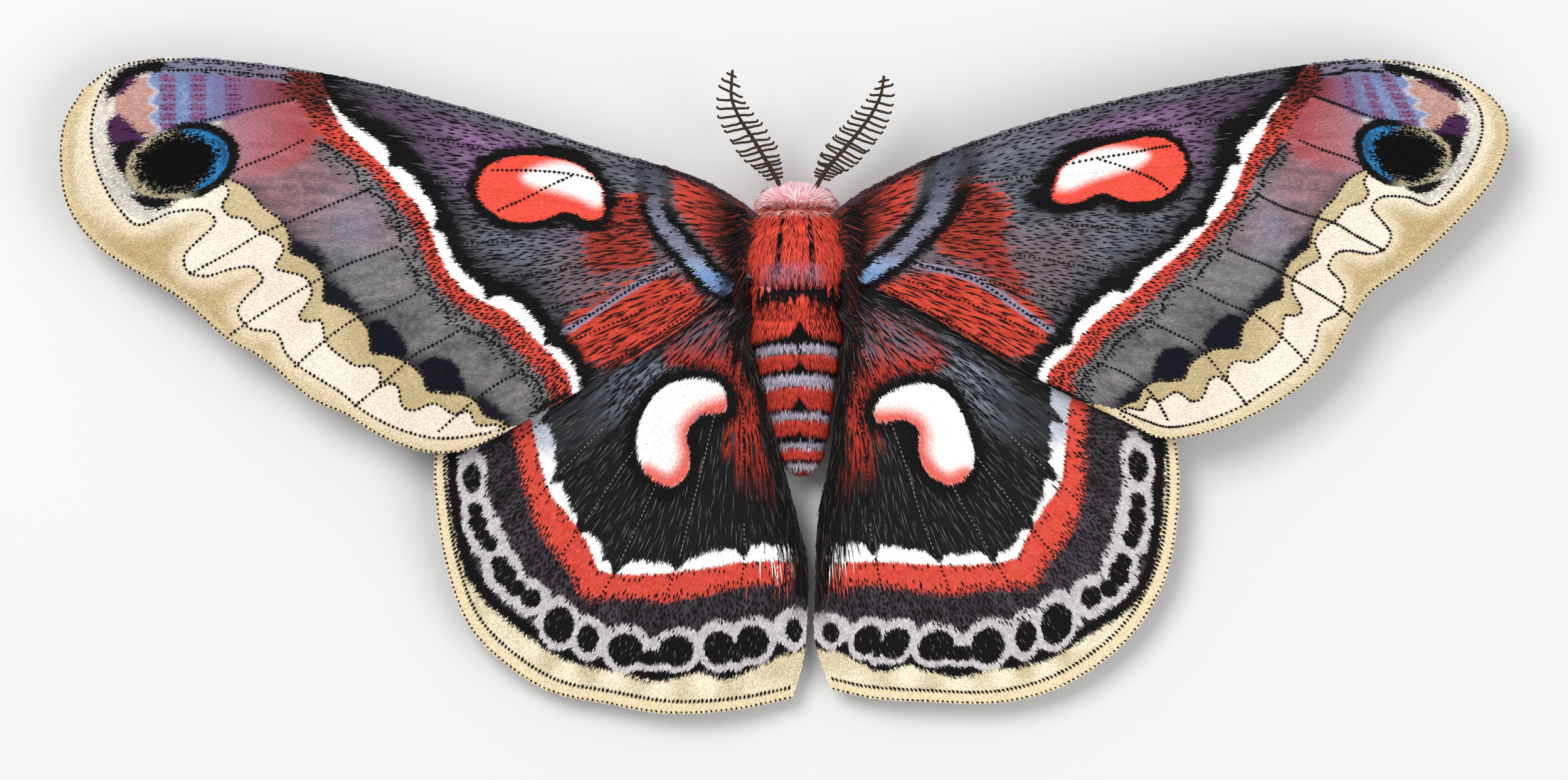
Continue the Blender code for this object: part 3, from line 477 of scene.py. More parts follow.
def smooth_line(points, steps=6, closed=False):
    """A close polyline on the centripetal Catmull-Rom curve through the points."""
    given = [np.array(p, float) for p in points]
    if closed:
        ends = [given[-1], *given, given[0], given[1]]
    else:
        ends = [2 * given[0] - given[1], *given, 2 * given[-1] - given[-2]]
    line = []
    for p0, p1, p2, p3 in zip(ends, ends[1:], ends[2:], ends[3:]):
        t1 = np.linalg.norm(p1 - p0) ** 0.5
        t2 = t1 + np.linalg.norm(p2 - p1) ** 0.5
        t3 = t2 + np.linalg.norm(p3 - p2) ** 0.5
        for number in range(steps):
            t = between(t1, t2, number / steps)
            a1 = (t1 - t) / t1 * p0 + t / t1 * p1
            a2 = (t2 - t) / (t2 - t1) * p1 + (t - t1) / (t2 - t1) * p2
            a3 = (t3 - t) / (t3 - t2) * p2 + (t - t2) / (t3 - t2) * p3
            b1 = (t2 - t) / t2 * a1 + t / t2 * a2
            b2 = (t3 - t) / (t3 - t1) * a2 + (t - t1) / (t3 - t1) * a3
            line.append((t2 - t) / (t2 - t1) * b1 + (t - t1) / (t2 - t1) * b2)
    line.append(given[0] if closed else given[-1])
    return np.array(line)


class Edge:
    """A smooth curve read by its share of the whole length."""

    def __init__(self, points):
        self.line = smooth_line(points, 14)
        steps = np.linalg.norm(np.diff(self.line, axis=0), axis=1)
        self.shares = np.concatenate([[0.0], np.cumsum(steps)])
        self.length = self.shares[-1]
        self.shares = self.shares / self.length

    def at(self, share):
        return np.stack([np.interp(share, self.shares, axis) for axis in self.line.T], -1)


def line_field(line, places, closed=False):
    """Signed distance to a polyline, + on its right or inside it, and the way along it."""
    start, run = line[:-1], np.diff(line, axis=0)
    size = np.linalg.norm(run, axis=1)
    run = run / size[:, None]
    way = np.concatenate([[0.0], np.cumsum(size)[:-1]])
    from_start = places[:, None, :] - start[None]
    along = np.clip((from_start * run).sum(-1), 0.0, size)
    miss = from_start - along[..., None] * run
    gap = np.hypot(miss[..., 0], miss[..., 1])
    near = gap.argmin(1)
    rows = np.arange(len(places))
    distance = gap[rows, near]
    if closed:
        y = places[:, 1, None]
        low, high = line[:-1, 1], line[1:, 1]
        crosses = (low > y) != (high > y)
        rise = np.where(high == low, 1.0, high - low)
        reach = line[:-1, 0] + (y - low) / rise * (line[1:, 0] - line[:-1, 0])
        inside = (crosses & (reach > places[:, 0, None])).sum(1) % 2 == 1
        sign = np.where(inside, 1.0, -1.0)
    else:
        side = run[near, 0] * from_start[rows, near, 1] - run[near, 1] * from_start[rows, near, 0]
        sign = np.where(side <= 0, 1.0, -1.0)
    return sign * distance, way[near] + along[rows, near]


def warp(landmarks):
    """A smooth map that takes each landmark's first place to its second one."""
    source = np.array([pair[0] for pair in landmarks])
    target = np.array([pair[1] for pair in landmarks])

    def kernel(gap):
        return np.where(gap > 1e-9, gap**2 * np.log(np.maximum(gap, 1e-9)), 0.0)

    count = len(source)
    flat = np.hstack([np.ones((count, 1)), source])
    gaps = np.linalg.norm(source[:, None] - source[None], axis=-1)
    system = np.block([[kernel(gaps), flat], [flat.T, np.zeros((3, 3))]])
    weights = np.linalg.solve(system, np.vstack([target, np.zeros((3, 2))]))

    def move(places):
        near = kernel(np.linalg.norm(places[:, None] - source[None], axis=-1))
        return near @ weights[:count] + weights[count] + places @ weights[count + 1:]

    return move


# Materials


def node_material(name, roughness, grain, bump=0.0):
    """A shader whose colour is the mesh's own tint, with fine grain in tone and relief."""
    made = bpy.data.materials.new(name)
    made.use_nodes = True
    nodes, links = made.node_tree.nodes, made.node_tree.links
    shader = nodes["Principled BSDF"]
    shader.inputs["Roughness"].default_value = roughness
    shader.inputs["Specular IOR Level"].default_value = SOFT_GLOSS
    tint = nodes.new("ShaderNodeAttribute")
    tint.attribute_name = "tint"
    place = nodes.new("ShaderNodeTexCoord")
    speckle = nodes.new("ShaderNodeTexNoise")
    speckle.inputs["Scale"].default_value = GRAIN_SCALE
    speckle.inputs["Detail"].default_value = GRAIN_DETAIL
    links.new(place.outputs["Object"], speckle.inputs["Vector"])
    tone = nodes.new("ShaderNodeMapRange")
    tone.inputs["To Min"].default_value = 1.0 - grain
    tone.inputs["To Max"].default_value = 1.0 + grain
    links.new(speckle.outputs["Fac"], tone.inputs["Value"])
    colour = nodes.new("ShaderNodeVectorMath")
    colour.operation = "SCALE"
    links.new(tint.outputs["Color"], colour.inputs[0])
    links.new(tone.outputs["Result"], colour.inputs["Scale"])
    links.new(colour.outputs["Vector"], shader.inputs["Base Color"])
    if bump:
        relief = nodes.new("ShaderNodeBump")
        relief.inputs["Strength"].default_value = bump
        relief.inputs["Distance"].default_value = RELIEF_DEPTH
        links.new(speckle.outputs["Fac"], relief.inputs["Height"])
        links.new(relief.outputs["Normal"], shader.inputs["Normal"])
    return made


def eye_material():
    """A dark glossy shell with a faint sheen over its facets."""
    made = node_material("eye_facets", 0.22, grain=0.25)
    shader = made.node_tree.nodes["Principled BSDF"]
    shader.inputs["Specular IOR Level"].default_value = 0.35
    shader.inputs["Coat Weight"].default_value = 0.2
    shader.inputs["Coat Roughness"].default_value = 0.1
    return made


# Meshes


def to_row(points):
    """Plan millimetres to metres in the part's own frame."""
    moved = np.array(points, float)
    moved[:, 0] -= PLAN_CENTRE[0]
    moved[:, 1] -= PLAN_CENTRE[1]
    return moved * MM


def in_scene(name, data):
    obj = bpy.data.objects.new(name, data)
    bpy.context.scene.collection.objects.link(obj)
    return obj


def finish_piece(mesh, name, material, tint):
    """Puts the mesh in the scene as a piece of the moth, with one tint a point."""
    tints = mesh.attributes.new("tint", "FLOAT_COLOR", "POINT")
    rgba = np.ones((len(mesh.vertices), 4), np.float32)
    rgba[:, :3] = np.clip(tint, 0.0, 1.0)
    tints.data.foreach_set("color", rgba.ravel())
    mesh.materials.append(material)
    mesh.shade_smooth()
    obj = in_scene(name, mesh)
    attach(obj, "root")
    return obj


def mesh_from(name, points, faces):
    """A mesh from arrays of points and of faces with one number of corners."""
    mesh = bpy.data.meshes.new(name)
    count, corners = faces.shape
    mesh.vertices.add(len(points))
    mesh.vertices.foreach_set("co", np.asarray(points, np.float32).ravel())
    mesh.loops.add(count * corners)
    mesh.loops.foreach_set("vertex_index", faces.astype(np.int32).ravel())
    mesh.polygons.add(count)
    mesh.polygons.foreach_set("loop_start", np.arange(0, count * corners, corners, dtype=np.int32))
    mesh.update(calc_edges=True)
    return mesh


def mesh_of(bm, name):
    """The finished bmesh as a mesh."""
    mesh = bpy.data.meshes.new(name)
    bm.to_mesh(mesh)
    bm.free()
    return mesh


def unit(vectors):
    return vectors / np.maximum(np.linalg.norm(vectors, axis=-1, keepdims=True), 1e-9)


def tuft_mesh(name, form, roots, along, up, length, width, lift, uv):
    """Many tufts as one mesh, each a small patch on the skin's unwrap."""
    form = TUFT_FORMS[form]
    shape = np.array(form["points"])
    faces = np.array(form["faces"])
    side = unit(np.cross(along, up))
    points = (
        roots[:, None]
        + along[:, None] * (shape[:, 0] * length[:, None])[..., None]
        + side[:, None] * (shape[:, 1] * width[:, None])[..., None]
        + up[:, None] * (shape[:, 2] * lift[:, None])[..., None]
    )
    count = len(roots)
    all_faces = (faces[None] + (np.arange(count) * len(shape))[:, None, None]).reshape(-1, 3)
    mesh = mesh_from(name, to_row(points.reshape(-1, 3)), all_faces)
    patch = (shape[:, :2] - (0.5, 0.0)) * UV_PATCH
    spread = (uv[:, None] + patch[None]).reshape(-1, 2)
    unwrap = mesh.uv_layers.new(name="OFBake")
    unwrap.data.foreach_set("uv", np.clip(spread[all_faces.ravel()], 0, 1).astype(np.float32).ravel())
    return mesh


def inset(share):
    """A share of the unwrap's width kept clear of its edges."""
    return share * 0.96 + 0.02


def strand_curve(name, resolution):
    """An empty curve whose lines become round strands, each point's radius in millimetres."""
    curve = bpy.data.curves.new(name, "CURVE")
    curve.dimensions = "3D"
    curve.bevel_depth = 1.0
    curve.bevel_resolution = resolution
    curve.use_fill_caps = True
    return curve


def add_strand(curve, places, radii):
    line = curve.splines.new("POLY")
    line.points.add(len(places) - 1)
    for point, place, radius in zip(line.points, places, radii):
        point.co = (*place, 1.0)
        point.radius = radius


def applied(draft):
    """The mesh of a draft with its modifiers applied. The draft itself goes."""
    bpy.context.view_layer.update()
    graph = bpy.context.evaluated_depsgraph_get()
    mesh = bpy.data.meshes.new_from_object(draft.evaluated_get(graph))
    bpy.data.objects.remove(draft)
    return mesh


def baked(data, shape=None):
    """The mesh of a curve or mesh, welded and facing out, shaped by modifiers if given."""
    draft = in_scene(data.name, data)
    if shape:
        shape(draft)
    mesh = applied(draft)
    bm = bmesh.new()
    bm.from_mesh(mesh)
    bmesh.ops.remove_doubles(bm, verts=bm.verts, dist=1e-4)
    bmesh.ops.recalc_face_normals(bm, faces=bm.faces)
    bm.to_mesh(mesh)
    bm.free()
    return mesh


def mesh_points(mesh, key="co"):
    points = np.empty(len(mesh.vertices) * 3, np.float32)
    mesh.vertices.foreach_get(key, points)
    return points.reshape(-1, 3).astype(float)


def move_points(mesh, points):
    mesh.vertices.foreach_set("co", np.asarray(points, np.float32).ravel())
    mesh.update()


def plain_piece(mesh, name, material, colour):
    """A piece of one colour, from a mesh in plan millimetres."""
    move_points(mesh, to_row(mesh_points(mesh)))
    mesh.name = name
    return finish_piece(mesh, name, material, np.tile(linear(colour), (len(mesh.vertices), 1)))


# Wings


def wing_height(x, y, hind):
    """The height of a wing's middle surface above the floor at places in plan."""
    reach = np.maximum(np.abs(x - BODY_X) - THORAX_HALF[0], 0.0) / WING_REACH
    height = WING_ROOT_Z - WING_DROOP * reach**WING_DROOP_POWER
    height = height - WING_PITCH * (WING_PITCH_FROM_Y - y)
    if hind:
        behind = np.maximum(HIND_WING_PITCH_FROM_Y - y, 0.0)
        height = height - HIND_WING_DROP - HIND_WING_PITCH * behind
        beside = (x - BODY_X) / ANAL_FOLD_WIDTH
        height = height - ANAL_FOLD_DROP * np.exp(-beside**2) * np.minimum(behind / 10.0, 1.0)
    return height


class Wing:
    """One wing's sheet as a grid of places, with all that its markings and coat need."""

    def __init__(self, name):
        self.name = name
        self.hind = name.startswith("hind")
        self.left = name.endswith("left")
        self.kind = "hind" if self.hind else "fore"
        self.size = HIND_GRID if self.hind else FORE_GRID
        outline = WING_OUTLINES[name]
        edges = {key: Edge(outline[key]) for key in ("costa", "outer", "inner")}
        root = Edge([outline["costa"][0], outline["inner"][0]])
        self.outs = np.linspace(0, 1, self.size[0])
        self.backs = np.linspace(0, 1, self.size[1])
        out, back = (share.ravel() for share in np.meshgrid(self.outs, self.backs, indexing="ij"))
        costa, inner = edges["costa"].at(out), edges["inner"].at(out)
        near, far = root.at(back), edges["outer"].at(back)
        o, b = out[:, None], back[:, None]
        corners = between(
            between(costa[0], costa[-1], o), between(inner[0], inner[-1], o), b
        )
        plan = between(costa, inner, b) + between(near, far, o) - corners
        height = wing_height(plan[:, 0], plan[:, 1], self.hind)
        self.veins = HIND_VEINS if self.hind else FORE_VEINS
        depth = np.maximum(np.linalg.norm(inner - costa, axis=1), 1.0)
        stops, pleats = [0.0], [0.0]
        ridge = np.exp(-((back * depth / COSTA_HALF_WIDTH) ** 2))
        for share, start in self.veins:
            stops += [between(stops[-1], share, 0.5), share]
            pleats += [1.0, 0.0]
            rise = np.clip((out - start) / VEIN_RISE, 0, 1) if start else 1.0
            gap = np.abs(back - share) * depth
            ridge = np.maximum(ridge, np.exp(-((gap / RIDGE_HALF_WIDTH) ** 2)) * rise)
        stops += [between(stops[-1], 1.0, 0.5), 1.0]
        pleats += [1.0, 0.0]
        height = height - PLEAT_DEPTH * np.interp(back, stops, pleats) * np.sin(out * np.pi)
        self.places = np.column_stack([plan, height])
        self.thickness = between(SHEET_THICKNESS, RIDGE_THICKNESS, ridge)
        self.depths = self.grid(depth)[:, 0]
        self.row_lengths = np.linalg.norm(np.diff(self.grid(plan), axis=0), axis=-1).sum(0)
        self.fields = self.make_fields(plan, out, back, depth, edges)

    def make_fields(self, plan, out, back, depth, edges):
        """Every distance that the markings are drawn by, at each place of the grid."""
        fields = {
            "out": out, "back": back,
            "s": out * edges["costa"].length, "t": back * SHEET_DEPTH,
        }
        rim = line_field(edges["outer"].line[::3], plan)
        fields["rim"] = np.abs(rim[0])
        fields["rim_s"] = rim[1]
        fields["front"] = np.abs(line_field(edges["costa"].line[::3], plan)[0])
        fields["rear"] = np.abs(line_field(edges["inner"].line[::3], plan)[0])
        gaps = [np.abs(back - share) * depth + 9.0 * (out < start) for share, start in self.veins]
        fields["vein"] = np.min(gaps, axis=0)
        own = plan
        if not self.left:
            plan = warp(HIND_LANDMARKS if self.hind else FORE_LANDMARKS)(plan)
        fields["x"], fields["y"] = plan.T
        lines = HIND_LINES if self.hind else FORE_LINES
        for key, points in lines.items():
            fields[key], fields[f"{key}_s"] = line_field(smooth_line(points, 4), plan)
        patches = HIND_PATCHES if self.hind else FORE_PATCHES
        for key, points in patches.items():
            fields[key] = line_field(smooth_line(points, 5, True), plan, True)[0]
        if self.name == "forewing_right":
            fields["fan_upper"] = line_field(smooth_line(RIGHT_FAN, 5, True), own, True)[0]
        return fields

    def marks(self, fields):
        """The markings at places with these fields, with a random number for each place."""
        fields["pick"] = rng.random(len(fields["out"]))
        return hind_markings(fields) if self.hind else fore_markings(fields)

    def grid(self, values):
        return values.reshape(*self.size, *values.shape[1:])

    def sample(self, values, i, j, u, v):
        """Values between the grid's places."""
        grid = self.grid(values)
        if grid.ndim > 2:
            u, v = u[:, None], v[:, None]
        near = between(grid[i, j], grid[i + 1, j], u)
        far = between(grid[i, j + 1], grid[i + 1, j + 1], u)
        return between(near, far, v)

    def read(self, spots):
        return {key: self.sample(value, *spots) for key, value in self.fields.items()}

    def scatter(self, count):
        """Evenly random places on the sheet, as many on each square millimetre."""
        grid = self.grid(self.places)
        across = grid[1:, :-1] - grid[:-1, :-1]
        down = grid[:-1, 1:] - grid[:-1, :-1]
        area = np.linalg.norm(np.cross(across, down), axis=-1)
        sums = np.cumsum(area.ravel())
        drawn = (np.arange(count) + rng.random(count)) / count * sums[-1]
        i, j = np.unravel_index(np.minimum(np.searchsorted(sums, drawn), area.size - 1), area.shape)
        return i, j, rng.random(count), rng.random(count)

    def spots(self, out, back):
        """The grid's cells at these shares out and back, and the places in them."""
        x = np.clip(out, 0, 1) * (self.size[0] - 1)
        y = np.clip(back, 0, 1) * (self.size[1] - 1)
        i = np.minimum(x.astype(int), self.size[0] - 2)
        j = np.minimum(y.astype(int), self.size[1] - 2)
        return i, j, x - i, y - j

    def rows(self, pitch, way):
        """Shares out and back of places in staggered rows that follow the veins."""
        found = []
        for band in range(STROKE_BANDS):
            middle = (band + 0.5) / STROKE_BANDS
            steps = 2 * max(round(np.interp(middle, self.backs, self.row_lengths) / way), 1)
            for number in range(steps):
                out = (number + 0.5) / steps
                depth = np.interp(out, self.outs, self.depths) / STROKE_BANDS
                count = max(round(depth / pitch), 1)
                rows = (np.arange(count) + (0.25, 0.75)[number % 2]) / count
                shift = rng.uniform(-0.16, 0.16, count) / count
                back = (band + np.clip(rows + shift, 0, 1)) / STROKE_BANDS
                found.append(np.column_stack([out + rng.uniform(-0.5, 0.5, count) / steps, back]))
        return np.vstack(found).T

    def find(self, plan):
        """The shares out and back of places in the left wing's plan that lie on this wing."""
        nodes = np.column_stack([self.fields["x"], self.fields["y"]])
        nearest = np.array([((nodes - place) ** 2).sum(1).argmin() for place in plan])
        i, j = np.unravel_index(nearest, self.size)
        i, j = np.minimum(i, self.size[0] - 2), np.minimum(j, self.size[1] - 2)
        grid = self.grid(nodes)
        a, b, d = grid[i + 1, j] - grid[i, j], grid[i, j + 1] - grid[i, j], plan - grid[i, j]
        turn = a[:, 0] * b[:, 1] - a[:, 1] * b[:, 0]
        u = (d[:, 0] * b[:, 1] - d[:, 1] * b[:, 0]) / turn
        v = (a[:, 0] * d[:, 1] - a[:, 1] * d[:, 0]) / turn
        out, back = (i + u) / (self.size[0] - 1), (j + v) / (self.size[1] - 1)
        inside = (out > 0) & (out < 1) & (back > 0) & (back < 1) & (np.abs(u) < 2) & (np.abs(v) < 2)
        return out[inside], back[inside]


class Paint:
    """Colours laid one over another at many places, and the coat's lie there.

    short is 1 where the scales are short, fine, long and tick are the shares of those dark strokes
    that are drawn, and ink is the strokes' colour. A new colour covers the ticks below it.
    """

    def __init__(self, count, colour):
        self.tint = np.tile(linear(colour), (count, 1))
        self.ink = np.tile(linear(INK), (count, 1))
        self.short = np.zeros(count)
        self.fine = np.zeros(count)
        self.long = np.zeros(count)
        self.tick = np.zeros(count)

    def lay(self, colour, mask, short=None, fine=None, long=None, ink=None, tick=None):
        mask = np.clip(mask, 0.0, 1.0)
        if tick is None and colour is not None:
            tick = 0.0
        for name, value in (("tint", colour), ("ink", ink)):
            if value is not None:
                held = getattr(self, name)
                over = linear(value) if isinstance(value, tuple) else value
                held += (over - held) * mask[:, None]
        for name, value in (("short", short), ("fine", fine), ("long", long), ("tick", tick)):
            if value is not None:
                held = getattr(self, name)
                held += (value - held) * mask


def ellipse_field(form, x, y):
    """1 on the ellipse's edge and less inside it, and the way across towards the body."""
    turn = math.radians(form["turn_deg"])
    dx, dy = x - form["middle"][0], y - form["middle"][1]
    u = dx * math.cos(turn) + dy * math.sin(turn)
    v = dy * math.cos(turn) - dx * math.sin(turn)
    return np.hypot(u / form["half"][0], v / form["half"][1]), u, v


def blend(dark, light, share):
    """A colour between two, at each place's share."""
    return between(linear(dark), linear(light), np.clip(share, 0, 1)[:, None])


def fore_markings(f):
    """The forewing's markings."""
    f["jag"] = f["pick"] - 0.5
    f["grain"] = noise(f["x"] / SPECK, f["y"] / SPECK, 2)
    f["broad"] = noise(f["x"] / 3.6, f["y"] / 3.6, 3)
    f["streak"] = noise(f["s"] / 2.6, f["t"] / 0.5, 1)
    paint = Paint(len(f["x"]), (98, 100, 109))
    fore_field(paint, f)
    fore_outside(paint, f)
    hem(paint, f)
    wing_tip(paint, f)
    fore_band(paint, f)
    eyespot(paint, f)
    return paint


def fore_field(paint, f):
    """The forewing from the root to the white band."""
    x, y, jag, streak = f["x"], f["y"], f["jag"], f["streak"]
    loose = (streak - 0.5) * 2.0 + jag * 0.8
    paint.lay(blend((84, 87, 95), (124, 127, 138), streak), np.ones(len(x)), fine=0.95)
    purple = blend((110, 78, 116), (150, 118, 156), streak)
    paint.lay(purple, step(f["front"], 12.0, 6.0) * step(x, -17.0, -25.0))
    outer = step(x, -12.0, -16.0)
    paint.lay(blend((92, 88, 100), (128, 124, 136), streak), step(f["front"], 2.2, 0.8) * outer)
    paint.lay(INK, step(np.abs(f["front"] - 1.3), 0.4, 0.15) * outer * 0.3)
    paint.lay((126, 92, 96), step(x + loose, -26.5, -22.0) * step(y, 18.0, 13.0) * 0.45)
    wide = 2.0 + 1.5 * step(y, 22.0, 28.0) + 1.4 * step(y, 9.0, 4.0)
    paint.lay((70, 68, 76), step(f["band"], -wide * 2.2, -wide) * 0.6, fine=1.0, long=0.8)
    paint.lay(INK, step(f["band"] + loose * 0.9, -wide, -wide * 0.4), fine=0.3, ink=(92, 90, 98))
    fans = np.maximum(
        step(f["fan_upper"] + loose, -0.6, 0.8), step(f["fan_lower"] + loose * 0.8, -0.5, 0.5)
    )
    upper = step(f["fan_upper"], -0.5, 0.5)
    red = blend((184, 56, 44), (224, 82, 62), streak)
    paint.lay(red, fans, fine=0.1, long=0.95, ink=(40, 22, 22))
    paint.lay((104, 44, 44), fans * upper * 0.5, fine=0.9)
    vein = step(np.abs(f["fan_vein"]), 0.5, 0.3) * step(f["fan_vein_s"], 0.1, 0.6)
    paint.lay((150, 142, 166), vein, long=0.0)
    inside = step(-f["basal"] + jag * 0.8, 1.6, 2.6)
    paint.lay(blend((172, 54, 44), (216, 80, 64), streak), inside, fine=0.15, long=0.95, ink=(40, 22, 22))
    root = step(x + loose * 1.4, -9.4, -6.0)
    paint.lay(DARK_BROWN, inside * root, long=0.6, ink=(120, 44, 36))
    paint.lay((70, 50, 58), step(-f["basal"], -2.0, 1.0) * step(f["front"], 0.9, 0.4), long=0.0, fine=0.9)
    arc = np.abs(f["basal"] + jag * 0.5)
    fade = step(f["front"], 1.4, 5.0)
    paint.lay(INK, step(arc, 2.0, 1.55) * between(0.6, 1.0, fade), fine=0.0, long=0.0)
    tone = step(y, 22.0, 16.0) * 0.6 + 0.4 * streak
    pale = step(arc, 0.8, 0.58)
    paint.lay(blend((86, 92, 110), (138, 138, 160), tone), pale * between(0.35, 1, fade), 0.4, tick=0.12)
    paint.lay((146, 168, 204), pale * step(y, 14.4, 12.8), 0.4)
    paint.lay((122, 154, 200), pale * step(y, 12.9, 11.9), 0.4)
    paint.lay((66, 84, 108), step(arc, 1.1, 0.7) * step(x, -7.4, -6.2), 0.4, tick=0.4)
    paint.lay(INK, step(arc, 1.9, 1.1) * step(x, -5.4, -3.6) * 0.8)
    paint.lay(INK, step(f["spot"] + loose * 0.5, -1.6, -1.0), fine=0.0, long=0.0)
    paint.lay((240, 86, 70), step(f["spot"] + jag * 0.12, -0.08, 0.06), 0.6)
    paint.lay(WHITE, step(f["spot_white"], -0.8, 0.6) * step(f["spot"], 0.0, 0.15), 0.6)


def fore_outside(paint, f):
    """The grey field beyond the red band, rosy in front and dark along its scalloped end."""
    x, y, jag = f["x"], f["y"], f["jag"]
    past = f["band"] - white_width(f) - red_width(f)
    outside = step(past + jag * 0.4, -0.3, 0.1)
    wash = 0.34 * f["broad"] + 0.36 * f["streak"] + 0.3 * f["grain"]
    hatch = np.interp(past, [0.0, 0.6, 1.6, 2.4], [1.0, 0.95, 0.6, 0.0])
    paint.lay(blend((44, 44, 47), (150, 146, 147), wash), outside, 0.35, 0.0, 0.0, INK, hatch)
    glow = np.exp(-((x + 45.0) ** 2 + (y - 18.0) ** 2) / 14.0)
    paint.lay((146, 150, 166), outside * glow * 0.7)
    rosy = step(y, 13.0, 20.0) * step(past, 0.4, 3.0) * (1 - 0.6 * glow)
    pink = blend((100, 78, 86), (188, 136, 146), 0.55 * f["streak"] + 0.45 * f["grain"])
    paint.lay(pink, rosy * 0.85, tick=hatch)
    end = step(f["tan"] + (f["grain"] - 0.5) * 0.8, -1.8, -0.2)
    paint.lay((46, 44, 50), outside * end * between(0.75, 0.4, rosy))
    for key in ("blotch_upper", "blotch_lower"):
        paint.lay((18, 19, 30), step(f[key] + (f["grain"] - 0.5) * 0.5, -0.35, 0.1))
    for key in ("blotch_first", "blotch_high", "blotch_last"):
        paint.lay((24, 24, 32), step(f[key] + (f["grain"] - 0.5) * 0.8, -0.8, 0.2))


def white_width(f):
    """How far the white band's smooth outer edge lies past its inner line."""
    return np.interp(
        f["band_s"], [2.6, 4.2, 6, 9, 16, 20, 24, 29, 33, 38, 42],
        [0, 0.6, 1.4, 2.0, 2.0, 1.7, 1.5, 1.9, 2.0, 1.6, 1.2],
    )


def red_width(f):
    return np.interp(f["band_s"], [0, 4, 8, 13, 18, 24, 33, 44], [3.2, 2.6, 1.6, 1.5, 1.6, 1.6, 2.1, 2.3])


def fore_band(paint, f):
    """The white band, lobed inside and notched at the veins, and the red one outside it."""
    jag = f["jag"]
    width, red = white_width(f), red_width(f)
    past = f["band"] - width
    notch = np.zeros(len(jag))
    for place in BAND_NOTCHES:
        notch = np.maximum(notch, np.clip(1 - np.abs(f["band_s"] - place) / 1.5, 0, 1))
    inner = width * between(0.24, 0.8, notch**1.3)
    front = step(f["front"], 0.1, 0.35)
    paint.lay(INK, step(f["band"] + jag * 0.8, -1.4, -0.6) * step(past, 0.2, 0.0), fine=0.0, long=0.0)
    band = step(past, -0.12, 0.05) * step(past - red + jag * 0.7, 0.12, -0.12) * front
    share = np.clip(past / red, 0, 1)
    hatch = np.interp(share, [0.0, 0.2, 0.5, 1.0], [0.3, 0.8, 1.0, 1.0])
    paint.lay(blend((204, 66, 54), (230, 86, 70), f["grain"]), band, 0.35, 0.0, 0.0, INK, hatch)
    paint.lay((90, 40, 38), band * step(f["y"], 26.5, 30.0) * 0.9, fine=0.7, tick=0.9)
    white = step(f["band"] - inner + jag * 0.35, -0.08, 0.08) * step(past, 0.06, -0.06) * front
    paint.lay(WHITE, white * step(width, 0.02, 0.2), 0.7, 0.0)


def hem(paint, f):
    """The forewing's tan and cream border."""
    grain, broad = f["grain"], f["broad"]
    border = step(f["band"], 2.0, 5.0)
    tan = blend((188, 166, 122), (216, 199, 160), 0.7 * broad + 0.3 * grain)
    paint.lay(tan, step(f["tan"] + (grain - 0.5) * 0.3, -0.1, 0.1) * border, 1.0, 0.0, 0.0)
    cream = blend((236, 222, 204), (250, 238, 224), 0.75 * broad + 0.25 * grain)
    paint.lay(cream, step(f["cream"], -0.08, 0.08) * border)
    outside = step(f["outer"], -0.08, 0.08)
    groove_shade = blend((184, 158, 108), (212, 192, 150), 0.6 * broad + 0.4 * grain)
    paint.lay(groove_shade, outside, 1.0, 0.0, 0.0)
    paint.lay((236, 222, 194), outside * step(f["outer"], 2.2, 0.3) * 0.85)
    paint.lay((226, 208, 172), outside * step(f["rim"], 1.2, 0.3) * 0.6)
    high = step(f["y"], 15.0, 20.0)
    paint.lay((240, 228, 204), outside * high * step(f["rim"], 0.6, 2.0) * 0.7)
    paint.lay((222, 202, 162), outside * high * step(f["rim"], 1.6, 0.4) * 0.5)


